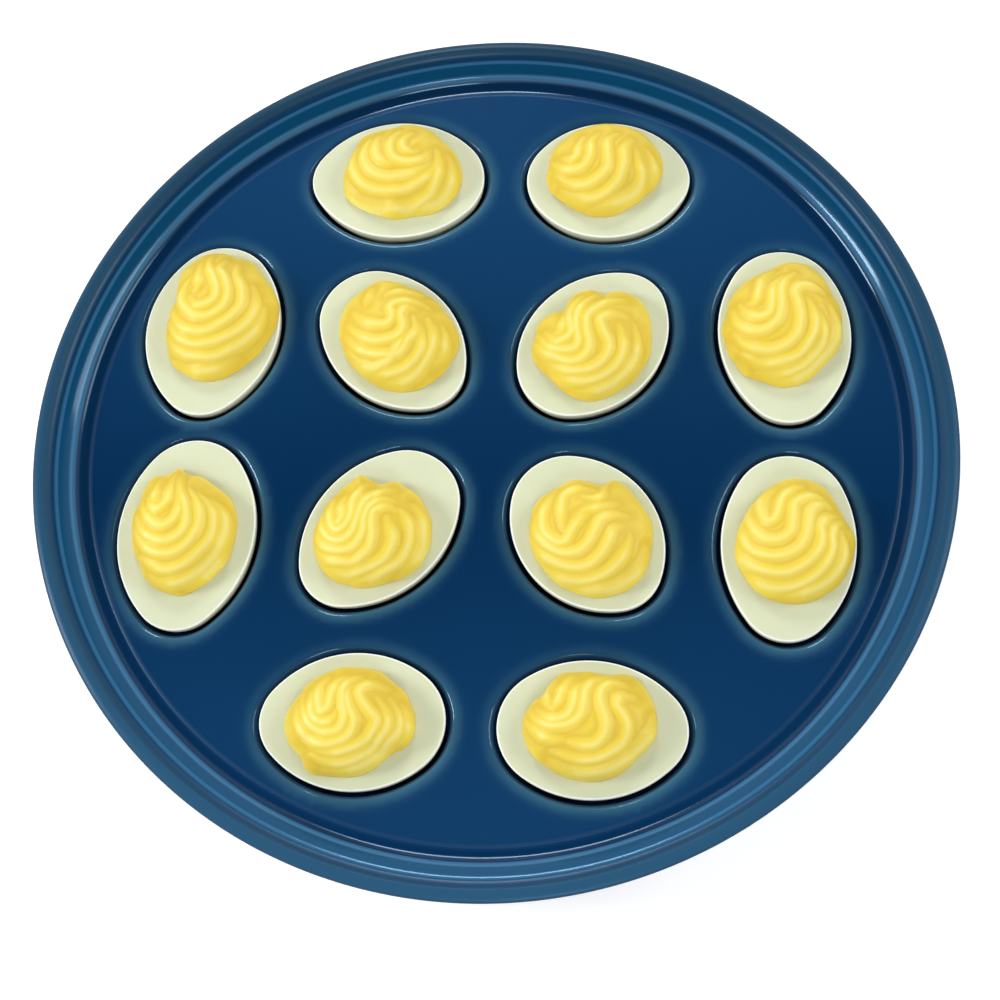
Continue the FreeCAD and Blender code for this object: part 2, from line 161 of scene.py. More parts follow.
# Roughness of the polish, and what a rubbed corner and the outer part of the rim add to it.
WIPE_SIZE, BEST_POLISH, WORST_POLISH = 2.2 * MM, 0.09, 0.13
CORNER, CORNER_REACH, CORNER_DULL = 135 * MM, 1.0 * MM, 0.55
OUTER_DULL = 0.2
GLOSS, LIP_GLOSS, GLOSS_TINT = 0.36, 0.14, "c4e6ff"
WAVE_SIZE, WAVE_STRENGTH, WAVE_HEIGHT = 30 * MM, 0.05, 0.3 * MM


def rim_colour(tree, radius, y):
    """The rim's painted highlights, shade and reflection, lighter on the near side."""
    ramp = add(tree, "ValToRGB", {"Fac": mapped(tree, radius, RIM_FROM, RIM_TO)})
    stops = ramp.color_ramp.elements
    stops.remove(stops[1])
    for index, (at, code) in enumerate(RIM_COLOURS):
        spot = (at * MM - RIM_FROM) / (RIM_TO - RIM_FROM)
        stop = stops.new(spot) if index else stops[0]
        stop.position = spot
        stop.color = linear(code)
    far_tone = mapped(tree, radius, LIP_FROM, LIP_TO, FAR_TONE, FAR_LIP_TONE)
    tone = mapped(tree, y, NEAR_SIDE, FAR_SIDE, NEAR_TONE, far_tone)
    return add(tree, "HueSaturation", {"Value": tone,
                                       "Color": ramp.outputs["Color"]}).outputs["Color"]


def navy_melamine():
    finish, tree = new_finish("navy_melamine")
    place = add(tree, "TexCoord").outputs["Object"]
    facing = add(tree, "SeparateXYZ", {0: add(tree, "TexCoord").outputs["Normal"]}).outputs["Z"]
    y = add(tree, "SeparateXYZ", {0: place}).outputs["Y"]
    level = add(tree, "VectorMath", {0: place, 1: (1, 1, 0)}, operation="MULTIPLY").outputs[0]
    radius = add(tree, "VectorMath", {0: level}, operation="LENGTH").outputs["Value"]
    # The floor, with painted light that makes it lighter away from a line across its middle, and a
    # faint cloudiness.
    away = compute(tree, "ABSOLUTE", compute(tree, "SUBTRACT", y, DEEPEST_LINE))
    cloud = mapped(tree, noise(tree, place, CLOUD_SIZE, 3.0), 0.0, 1.0, -CLOUDINESS, CLOUDINESS)
    amount = compute(tree, "ADD", mapped(tree, away, 0.0, PAINTED_LIGHT_REACH), cloud, use_clamp=True)
    deep = mixed(tree, amount, linear(DEEP_NAVY), linear(PAINTED_LIGHT_NAVY))
    # The rim, where it faces up, with its painted highlights, shade and reflection, and the painted
    # highlight round the mouths of the wells.
    on_rim = mapped(tree, radius, RIM_FROM, RIM_FROM + RIM_FADE)
    amount = compute(tree, "MULTIPLY", on_rim, mapped(tree, facing, -0.2, 0.1))
    steel = mixed(tree, amount, deep, rim_colour(tree, radius, y))
    mouth = add(tree, "Attribute", attribute_name="mouth").outputs["Fac"]
    colour = mixed(tree, mouth, steel, linear(MOUTH_HIGHLIGHT_NAVY))
    # The wipe marks. The corner where the groove starts, the cove and the lip are rubbed dull.
    wipe = noise(tree, place, WIPE_SIZE, 4.0, distortion=1.2)
    polish = mapped(tree, wipe, 0.3, 0.7, BEST_POLISH, WORST_POLISH)
    off = compute(tree, "ABSOLUTE", compute(tree, "SUBTRACT", radius, CORNER))
    corner = mapped(tree, off, CORNER_REACH, 0.0, 0.0, CORNER_DULL)
    outer = mapped(tree, radius, OUTER_FROM, OUTER_TO, 0.0, OUTER_DULL)
    wave = noise(tree, place, WAVE_SIZE, 1.0)
    give(finish, add(tree, "BsdfPrincipled", {
        "Base Color": colour, "IOR": 1.5,
        "Roughness": compute(tree, "ADD", polish, compute(tree, "ADD", corner, outer)),
        "Specular IOR Level": mapped(tree, radius, LIP_FROM, LIP_TO, GLOSS, LIP_GLOSS),
        "Specular Tint": linear(GLOSS_TINT),
        "Normal": bumped(tree, wave, WAVE_STRENGTH, WAVE_HEIGHT)}))
    return finish


def dress(node, finish):
    """Gives a CAD node its finish."""
    mesh = nodes[node].data
    mesh.materials.clear()
    mesh.materials.append(finish)


navy = navy_melamine()
dress("platter", navy)
print("deep navy", [round(value, 4) for value in linear(DEEP_NAVY)])

# %% [markdown]
# ## A finer skin for the dish
# The rim's edges are rounded by about a millimetre or less, and a lamp shows there as a hairline.
# The CAD model's mesh is too coarse for that, so the same shape is built again with closer rings:
# the rim as a turned section, the wells from their arcs, and the flat parts filled in between.
# All sizes here are in millimetres and are those of the CAD model. Only the slope between the two
# steps, flat there, is crowned by a sixth of a millimetre, as a moulded slope is.

# %% Section of the rim
FLOOR, WALL = 26.3, 2.8
FLOOR_EDGE, STEP_1, STEP_2, LIP, RIM = 134.9, 140.6, 144.9, 148.3, 152.4
STEP_1_TOP, STEP_2_TOP, LIP_TOP = FLOOR + 2.5, FLOOR + 5.5, FLOOR + 8.0
# How far the lip falls to its edge, and the edge's height and round.
LIP_DROP, LIP_WALL, NOSE_ROUND = 0.4, 2.2, 1.2
# Where the section starts on the floor, and both ends of the slope on its underside.
FLAT_EDGE, UNDER_SLOPE, UNDER_LIP = FLOOR_EDGE - 0.4, FLOOR_EDGE + 4.2, RIM - 4.8
FOOT, FOOT_WALL, DRAFT = 135.5, 3.2, 1.4
# Radii of the hollows, the crowned slope and the lip.
GROOVE, SLOPE, COVE, CROWN = 4.0, 20.0, 4.5, 5.0
# Segments round the dish, points of a piece of the section and of a corner, and the longest step
# and largest turn from one ring to the next.
SEGMENTS, FINE, CORNER_FINE = 360, 240, 40
LONGEST, LARGEST_TURN = 2.5, math.radians(9)
TINY, ZERO = 1e-6, 1e-9


def arc(start, end, radius, bend):
    """Points of an arc that swells to the left of its way where bend is 1, else to the right."""
    start, end = np.array(start, float), np.array(end, float)
    chord = end - start
    side = np.array([-chord[1], chord[0]]) * bend / np.hypot(*chord)
    centre = (start + end) / 2 - side * math.sqrt(radius ** 2 - chord @ chord / 4)
    first = math.atan2(*(start - centre)[::-1])
    last = math.atan2(*(end - centre)[::-1])
    sweep = -((first - last) % (2 * math.pi)) if bend > 0 else (last - first) % (2 * math.pi)
    angles = first + sweep * np.linspace(0, 1, FINE)
    return centre + radius * np.stack([np.cos(angles), np.sin(angles)], -1)


def line(start, end):
    return np.linspace(start, end, FINE)


def trimmed(piece, room):
    """A piece without its last bit, and the direction in which it ends there."""
    gone = np.hypot(*(piece - piece[-1]).T)
    kept = piece[gone >= room]
    direction = kept[-1] - kept[-2]
    return kept, direction / np.hypot(*direction)


def joined(pieces, rounds):
    """Pieces joined to one line, with a rounded corner between each two."""
    for index, radius in enumerate(rounds):
        before, after = pieces[index], pieces[index + 1]
        way_in, way_out = before[-1] - before[-2], after[1] - after[0]
        turn = math.acos(way_in @ way_out / np.hypot(*way_in) / np.hypot(*way_out))
        room = radius * math.tan(turn / 2)
        before, way_in = trimmed(before, room)
        after, way_out = trimmed(after[::-1], room)
        start, end = before[-1], after[-1]
        # The corner bends from one direction to the other about the point where the two cross.
        reach = np.linalg.solve(np.stack([way_in, way_out], -1), end - start)[0]
        corner = start + way_in * reach
        s = np.linspace(0, 1, CORNER_FINE)[1:-1, None]
        bend = (1 - s) ** 2 * start + 2 * s * (1 - s) * corner + s ** 2 * end
        pieces[index] = np.concatenate([before, bend])
        pieces[index + 1] = after[::-1]
    return np.concatenate(pieces)


def thinned(points, step, turn_step):
    """Fewer points, as far apart as a length and a turn allow, with their normals."""
    keep = np.concatenate([[True], np.hypot(*np.diff(points, axis=0).T) > TINY])
    points = points[keep]
    ways = np.gradient(points, axis=0)
    heading = np.unwrap(np.arctan2(ways[:, 1], ways[:, 0]))
    lengths = np.hypot(*np.diff(points, axis=0).T)
    cost = np.concatenate([[0], np.cumsum(lengths / step + np.abs(np.diff(heading)) / turn_step)])
    places = np.linspace(0, cost[-1], int(cost[-1]) + 2)
    fine = np.stack([np.interp(places, cost, points[:, k]) for k in (0, 1)], -1)
    heading = np.interp(places, cost, heading)
    return fine, np.stack([-np.sin(heading), np.cos(heading)], -1)


under = FLOOR - WALL
edge = LIP_TOP - LIP_DROP
below = edge - LIP_WALL
nose = RIM - NOSE_ROUND + math.sqrt(NOSE_ROUND ** 2 - (LIP_WALL / 2) ** 2)
# The section from the floor over the steps and the lip and down to the foot, then the radii of
# the rounds between its pieces.
rim_line = joined([
    line((FLAT_EDGE, FLOOR), (FLOOR_EDGE, FLOOR)),
    arc((FLOOR_EDGE, FLOOR), (STEP_1, STEP_1_TOP), GROOVE, -1),
    arc((STEP_1, STEP_1_TOP), (STEP_2, STEP_2_TOP), SLOPE, 1),
    arc((STEP_2, STEP_2_TOP), (LIP, LIP_TOP), COVE, -1),
    arc((LIP, LIP_TOP), (nose, edge), CROWN, 1),
    arc((nose, edge), (nose, below), NOSE_ROUND, 1),
    line((nose, below), (UNDER_LIP, below)),
    line((UNDER_LIP, below), (UNDER_SLOPE, under)),
    line((UNDER_SLOPE, under), (FOOT + DRAFT, under)),
    line((FOOT + DRAFT, under), (FOOT, 0)),
    line((FOOT, 0), (FOOT - FOOT_WALL, 0)),
    line((FOOT - FOOT_WALL, 0), (FOOT - FOOT_WALL - DRAFT, under)),
], [0.45, 1.1, 0.45, 0.45, 0.25, 0.25, 0.3, 0.5, 0.5, 0.8, 0.8])
section, section_normals = thinned(rim_line, LONGEST, LARGEST_TURN)
print("points in the rim's section", len(section))

# %% The wells
CUT_FACE, WELL_AXIS, WELL_GAP, MOUTH_ROUND = 27.5, 28.9, 1.6, 2.6
MOUTH_MARGIN, MOUTH_DEPTH = WELL_GAP + MOUTH_ROUND, WELL_AXIS - FLOOR + MOUTH_ROUND
BULGE_MARGIN, BULGE_DEPTH = WELL_GAP + WALL, WELL_AXIS - FLOOR + WALL
BLUNT, TIP = 18.5, 15.0
AROUND, MOUTH_STEPS, WALL_STEPS, BULGE_STEPS = 128, 8, 13, 11
# Each egg's middle, the direction of its pointed end, its length and its width.
EGG_SHAPES = (
    (-37.5, 98.194, 180, 62.0, 47.4), (37.5, 98.194, 0, 57.4, 46.8),
    (98.194, 37.5, 273, 63.8, 44.2), (98.194, -37.5, 267, 62.5, 42.8),
    (37.5, -98.194, 0, 59.2, 43.4), (-37.5, -98.194, 182, 58.9, 43.8),
    (-98.194, -37.5, 269, 66.5, 46.2), (-98.194, 37.5, 266, 64.8, 47.1),
    (-34.272, 34.272, 314, 60.0, 44.2), (34.272, 34.272, 51, 60.0, 46.4),
    (34.272, -34.272, 310, 58.7, 46.1), (-34.272, -34.272, 230, 61.4, 44.7),
)


def egg_arcs(length, width):
    """Middle and radius of an egg's side arc, and the middles of its blunt and tip arcs."""
    to_blunt, to_tip = length / 2 - BLUNT, length / 2 - TIP
    slope = (TIP - BLUNT) / (to_blunt + to_tip)
    start = (BLUNT ** 2 - TIP ** 2 - to_blunt ** 2 + to_tip ** 2) / (2 * (to_blunt + to_tip))
    linear_part = width / 2 - BLUNT - slope * (start + to_blunt)
    constant = (start + to_blunt) ** 2 + (width / 2) ** 2 - BLUNT ** 2
    side = constant / (linear_part + math.sqrt(linear_part ** 2 - slope ** 2 * constant))
    middle = slope * side + start
    return middle, side, -to_blunt, to_tip


def egg_ring(shape, margin, depth):
    """A level ring round an egg that is grown by a margin, with the normals of its surface."""
    middle, side, blunt_at, tip_at = egg_arcs(*shape[3:])
    half_width = shape[4] / 2
    level = half_width - side
    ends = []
    for centre, radius in ((blunt_at, BLUNT), (tip_at, TIP)):
        # The end arc meets the side arc where both have the same direction.
        way = np.array([centre - middle, -level]) / (side - radius)
        sign = math.copysign(1, centre)
        joint = centre + way[0] * (radius + margin)
        if depth < way[1] * (radius + margin):
            end = centre + sign * math.sqrt((radius + margin) ** 2 - depth ** 2)
        else:
            end = middle + sign * math.sqrt(max((side + margin) ** 2 - (depth - level) ** 2, 0))
        ends.append((joint, end))
    spin = np.linspace(0, 2 * math.pi, AROUND, endpoint=False)
    (blunt_joint, low), (tip_joint, high) = ends
    along = (low + high) / 2 + (high - low) / 2 * np.cos(spin)
    on_blunt, on_tip = along < blunt_joint, along > tip_joint
    centre = np.where(on_blunt, blunt_at, np.where(on_tip, tip_at, middle))
    radius = np.where(on_blunt, BLUNT, np.where(on_tip, TIP, side)) + margin
    base = np.where(on_blunt | on_tip, 0, level)
    girth = base + np.sqrt(np.maximum(radius ** 2 - (along - centre) ** 2, 0))
    y = np.sign(np.sin(spin)) * np.sqrt(np.maximum(girth ** 2 - depth ** 2, 0))
    y[np.abs(np.sin(spin)) < ZERO] = 0
    girth = np.maximum(np.hypot(y, depth), ZERO)
    lean = (girth - base) / radius
    normal = np.stack([(along - centre) / radius, lean * y / girth, -lean * depth / girth], -1)
    return np.stack([along, y, np.full(AROUND, -depth)], -1), normal


def placed(shape, points, height):
    """Points along an egg, moved to its place in the dish."""
    turn = math.radians(shape[2])
    x = shape[0] + points[..., 0] * math.cos(turn) - points[..., 1] * math.sin(turn)
    y = shape[1] + points[..., 0] * math.sin(turn) + points[..., 1] * math.cos(turn)
    return np.stack([x, y, points[..., 2] + height], -1)


def well_rings(shape):
    """Rings of a well: the rounded mouth from the floor inwards, then the wall to the bottom."""
    rings, normals = [], []
    centres, outward = egg_ring(shape, MOUTH_MARGIN, MOUTH_DEPTH)
    up = np.array([0, 0, 1.0])
    bend = np.arccos(np.clip(-outward[:, 2], -1, 1))[:, None]
    for part in np.linspace(0, 1, MOUTH_STEPS):
        way = (np.sin((1 - part) * bend) * up - np.sin(part * bend) * outward) / np.sin(bend)
        rings.append(centres + MOUTH_ROUND * way)
        normals.append(way)
    deepest = shape[4] / 2 + MOUTH_MARGIN
    first = math.asin(MOUTH_DEPTH / deepest)
    for angle in np.linspace(first, math.pi / 2, WALL_STEPS)[1:-1]:
        centres, outward = egg_ring(shape, MOUTH_MARGIN, deepest * math.sin(angle))
        rings.append(centres - MOUTH_ROUND * outward)
        normals.append(-outward)
    bottom = [egg_arcs(*shape[3:])[0], 0, -shape[4] / 2 - WELL_GAP]
    return np.array(rings), np.array(normals), np.array(bottom)


def bulge_rings(shape):
    """Rings of the bulge under a well, from the underside of the floor downwards."""
    rings, normals = [], []
    deepest = shape[4] / 2 + BULGE_MARGIN
    first = math.asin(BULGE_DEPTH / deepest)
    for angle in np.linspace(first, math.pi / 2, BULGE_STEPS)[:-1]:
        points, outward = egg_ring(shape, BULGE_MARGIN, deepest * math.sin(angle))
        rings.append(points)
        normals.append(outward)
    bottom = [egg_arcs(*shape[3:])[0], 0, -deepest]
    return np.array(rings), np.array(normals), np.array(bottom)


# %% Put the skin together
skin_points, skin_faces, skin_normals = [], [], []
STUD_STEP, MOUTH_ROOM, RIM_ROOM = 1.7, 0.6, 1.5
# The painted highlight round a mouth: where it ends, where it is palest, its widths and its
# strength, how much of it stays on the side away from the light, and the side the light comes from.
BAND_END, BAND_CREST, BAND_INNER, BAND_OUTER = 9.0, 2.3, 0.45, 2.3
BAND_STRENGTH, BAND_EVEN = 0.5, 0.62
LIGHT_SIDE = Vector((0.6, -0.8, 0))
# Places measured on each straight bit of an egg's outline.
BETWEEN = 4


def store(points):
    """Adds points to the skin and gives their numbers, in the same arrangement."""
    first = len(skin_points)
    skin_points.extend(np.reshape(points, (-1, 3)).tolist())
    return first + np.arange(len(skin_points) - first).reshape(np.shape(points)[:-1])


def weave(rows, normals, flip):
    """Faces between neighbouring rings."""
    order = [(0, 0), (0, 1), (1, 1), (1, 0)] if flip else [(0, 0), (1, 0), (1, 1), (0, 1)]
    last = len(rows) - 1
    corners = [np.roll(rows, -beside, 1)[down:last + down] for down, beside in order]
    facing = [np.roll(normals, -beside, 1)[down:last + down] for down, beside in order]
    skin_faces.extend(np.stack(corners, -1).reshape(-1, 4).tolist())
    skin_normals.extend(np.stack(facing, -2).reshape(-1, 3).tolist())


def cap(row, normals, tip, tip_normal, flip):
    """Faces from a ring to one point."""
    for index in range(len(row)):
        beside = (index + 1) % len(row)
        first, second = (index, beside) if flip else (beside, index)
        skin_faces.append([row[first], row[second], tip])
        skin_normals.extend([normals[first], normals[second], tip_normal])


def fill_flat(height, facing, loops, inside, studs=()):
    """Fills the flat part between closed loops with triangles, through the studs between them."""
    numbers = np.concatenate(loops)
    flat = [Vector(skin_points[number][:2]) for number in numbers]
    flat += [Vector(stud) for stud in studs]
    edges, first = [], 0
    for loop in loops:
        edges += [(first + k, first + (k + 1) % len(loop)) for k in range(len(loop))]
        first += len(loop)
    spots, _, triangles, origins, _, _ = delaunay_2d_cdt(flat, edges, [], 0, TINY)
    known = {spot: numbers[origin[0]] for spot, origin in enumerate(origins)
             if origin and origin[0] < len(numbers)}
    for triangle in triangles:
        middle = sum((spots[spot] for spot in triangle), Vector((0, 0))) / 3
        if not inside(middle.x, middle.y):
            continue
        for spot in triangle:
            if spot not in known:
                known[spot] = store([[spots[spot].x, spots[spot].y, height]])[0]
        ordered = triangle if facing > 0 else triangle[::-1]
        skin_faces.append([known[spot] for spot in ordered])
        skin_normals.extend([[0, 0, facing]] * 3)


def half_outlines(margin, depth):
    """For each egg, one half of its level outline when it is grown by a margin."""
    return [egg_ring(shape, margin, depth)[0][AROUND // 2::-1] for shape in EGG_SHAPES]


def clear_of_eggs(halves, x, y):
    """Whether a place lies outside all the outlines."""
    for shape, half in zip(EGG_SHAPES, halves):
        turn = math.radians(shape[2])
        from_x, from_y = x - shape[0], y - shape[1]
        along = from_x * math.cos(turn) + from_y * math.sin(turn)
        across = from_y * math.cos(turn) - from_x * math.sin(turn)
        if half[0, 0] < along < half[-1, 0]:
            if abs(across) < np.interp(along, half[:, 0], half[:, 1]):
                return False
    return True


def turned(pairs):
    """Pairs of radius and height, taken round the middle of the dish."""
    spin = np.linspace(0, 2 * math.pi, SEGMENTS, endpoint=False)
    return np.stack([np.outer(pairs[:, 0], np.cos(spin)), np.outer(pairs[:, 0], np.sin(spin)),
                     np.repeat(pairs[:, 1:], SEGMENTS, 1)], -1)


rim_rows = store(turned(section))
weave(rim_rows, turned(section_normals), False)

mouth_loops, bulge_loops = [rim_rows[0]], [rim_rows[-1]]
for shape in EGG_SHAPES:
    turn_only = (0, 0, shape[2])
    for rings, loops, flip in ((well_rings, mouth_loops, True), (bulge_rings, bulge_loops, False)):
        points, normals, bottom = rings(shape)
        normals = placed(turn_only, normals, 0)
        rows = store(placed(shape, points, WELL_AXIS))
        tip = store(placed(shape, bottom[None], WELL_AXIS))[0]
        weave(rows, normals, flip)
        cap(rows[-1], normals[-1], tip, [0, 0, 1.0 if flip else -1.0], flip)
        loops.append(rows[0])

mouth_halves = half_outlines(MOUTH_MARGIN, MOUTH_DEPTH)
bulge_halves = half_outlines(BULGE_MARGIN, BULGE_DEPTH)
# Outlines of the cut faces, from which the painted highlight round each mouth is measured.
outlines = KDTree(len(EGG_SHAPES) * AROUND * BETWEEN)
for shape in EGG_SHAPES:
    ring = placed(shape, egg_ring(shape, 0, WELL_AXIS - CUT_FACE)[0], 0)
    for step in range(AROUND * BETWEEN):
        start, end = ring[step // BETWEEN], ring[(step // BETWEEN + 1) % AROUND]
        spot = start + (end - start) * (step % BETWEEN) / BETWEEN
        outlines.insert((spot[0], spot[1], 0), step)
outlines.balance()


def open_floor(x, y):
    return math.hypot(x, y) < section[0, 0] and clear_of_eggs(mouth_halves, x, y)


def open_underside(x, y):
    return math.hypot(x, y) < section[-1, 0] and clear_of_eggs(bulge_halves, x, y)


def from_egg(x, y):
    """The nearest place on an egg's outline, and how far away it is."""
    spot, _, distance = outlines.find((x, y, 0))
    return spot, distance


grid = np.arange(-FLOOR_EDGE, FLOOR_EDGE, STUD_STEP)
studs = [(x, y) for x in grid for y in grid
         if MOUTH_MARGIN + MOUTH_ROOM < from_egg(x, y)[1] < BAND_END
         and math.hypot(x, y) < FLOOR_EDGE - RIM_ROOM and open_floor(x, y)]
fill_flat(FLOOR, 1.0, mouth_loops, open_floor, studs)
fill_flat(under, -1.0, bulge_loops, open_underside)
skin = bpy.data.meshes.new("fine_platter")
skin.from_pydata((np.array(skin_points) * MM).tolist(), [], skin_faces)
skin.shade_smooth()
skin.normals_split_custom_set(skin_normals)
skin.materials.append(navy)
# The painted highlight round each mouth, strongest on the side that faces the light.
band = []
for x, y, z in skin_points:
    spot, distance = from_egg(x, y)
    width = BAND_INNER if distance < BAND_CREST else BAND_OUTER
    facing_side = (Vector((x, y, 0)) - spot).normalized().dot(LIGHT_SIDE)
    on_top = z > FLOOR - MOUTH_ROUND and math.hypot(x, y) < FLOOR_EDGE
    shade = BAND_EVEN + (1 - BAND_EVEN) * facing_side
    strength = BAND_STRENGTH * math.exp(-((distance - BAND_CREST) / width) ** 2) * shade
    band.append(strength if on_top else 0.0)
skin.attributes.new("mouth", "FLOAT", "POINT").data.foreach_set("value", band)
platter = bpy.data.objects.new("fine_platter", skin)
bpy.context.scene.collection.objects.link(platter)
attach(platter, "root")
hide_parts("platter")
print("fine platter", len(skin.vertices), "points", len(skin.polygons), "faces")

# %% [markdown]
# ## The eggs: boiled white
# Boiled white is a wet gel. Light goes a few millimetres into it and comes out again, so its shadows
# are soft and its edge glows. The cut face has a silky gloss and the faint unevenness that a knife
# leaves. The colour is a cool, slightly green white, and the rounded edge of the cut gets a pale
# painted highlight, which the finish places by how far the surface leans there.

# %% Boiled egg white
# Two whites that differ at random in patches, and the pale painted highlight of the cut's edge.
SHADED_WHITE, FLESH_WHITE, EDGE_HIGHLIGHT_WHITE = "d4dbba", "dee3c8", "fbfdf4"
PATCH_SIZE = 18 * MM
KNIFE_SIZE, KNIFE_STRENGTH, KNIFE_HEIGHT = 5 * MM, 0.25, 0.25 * MM


def boiled_white():
    finish, tree = new_finish("boiled_egg_white")
    place = add(tree, "TexCoord").outputs["Object"]
    lean = add(tree, "SeparateXYZ", {0: add(tree, "TexCoord").outputs["Normal"]}).outputs["Z"]
    patches = noise(tree, place, PATCH_SIZE, 3.0)
    flesh = mixed(tree, patches, linear(SHADED_WHITE), linear(FLESH_WHITE))
    # The painted highlight where the rounded edge of the cut leans.
    leaning = mapped(tree, lean, 0.999, 0.95)
    upward = mapped(tree, lean, 0.05, 0.3)
    edge_highlight = compute(tree, "MULTIPLY", leaning, upward)
    cut = noise(tree, place, KNIFE_SIZE, 5.0)
    give(finish, add(tree, "BsdfPrincipled", {
        "Base Color": mixed(tree, edge_highlight, flesh, linear(EDGE_HIGHLIGHT_WHITE)),
        "Roughness": 0.42, "IOR": 1.38,
        "Subsurface Weight": 0.35, "Subsurface Scale": 2.5 * MM,
        "Subsurface Radius": (1.0, 0.9, 0.6),
        "Normal": bumped(tree, cut, KNIFE_STRENGTH, KNIFE_HEIGHT)}))
    return finish


white = boiled_white()
for number in range(1, EGGS + 1):
    dress(f"egg_white_{number}", white)
print("egg halves dressed", EGGS)

# %% [markdown]
# ## The fillings: creamed yolk
# The mashed yolk is creamy, piped and then twirled with the tip of the bag, so soft ridges run over
# the dome in S-curves. The ridges catch the light, the valleys are painted a deeper gold as painted
# shade, because less light gets out of them, and the crests get a paler painted highlight. The
# relief of each vertex is stored on the mesh, and the finish mixes its yellows by it.

# %% Creamed yolk
# The valleys' deeper gold is painted shade and the crests' pale yellow a painted highlight.
VALLEY_SHADE_YOLK, RIDGE_YOLK, CREST_HIGHLIGHT_YOLK = "e2c23a", "f1db56", "f2e17d"
CREST_FROM = 0.8
GRAIN_SIZE, GRAIN_STRENGTH, GRAIN_HEIGHT = 0.5 * MM, 0.12, 0.15 * MM


def creamed_yolk():
    finish, tree = new_finish("creamed_yolk")
    place = add(tree, "TexCoord").outputs["Object"]
    relief = add(tree, "Attribute", attribute_name="relief").outputs["Fac"]
    soft = mixed(tree, relief, linear(VALLEY_SHADE_YOLK), linear(RIDGE_YOLK))
    crest = mapped(tree, relief, CREST_FROM, 1.0)
    grain = noise(tree, place, GRAIN_SIZE, 2.0)
    give(finish, add(tree, "BsdfPrincipled", {
        "Base Color": mixed(tree, crest, soft, linear(CREST_HIGHLIGHT_YOLK)),
        "Roughness": 0.48, "IOR": 1.45,
        "Subsurface Weight": 0.15, "Subsurface Scale": 1.5 * MM,
        "Subsurface Radius": (1.0, 0.85, 0.35),
        "Normal": bumped(tree, grain, GRAIN_STRENGTH, GRAIN_HEIGHT)}))
    return finish


yolk = creamed_yolk()

# %% [markdown]
# ## Shape of a filling
# No two twirls are alike, so each is drawn as a sketch in millimetres from the middle of its egg:
# first the outline of the cream, then the crests of its ridges. A smooth curve goes through the
# points of each line. Over the outline stands a dome, and its surface swells round each crest like
# a piped rope, so that a narrow valley is left where two ridges meet. A rope thins out at its ends.

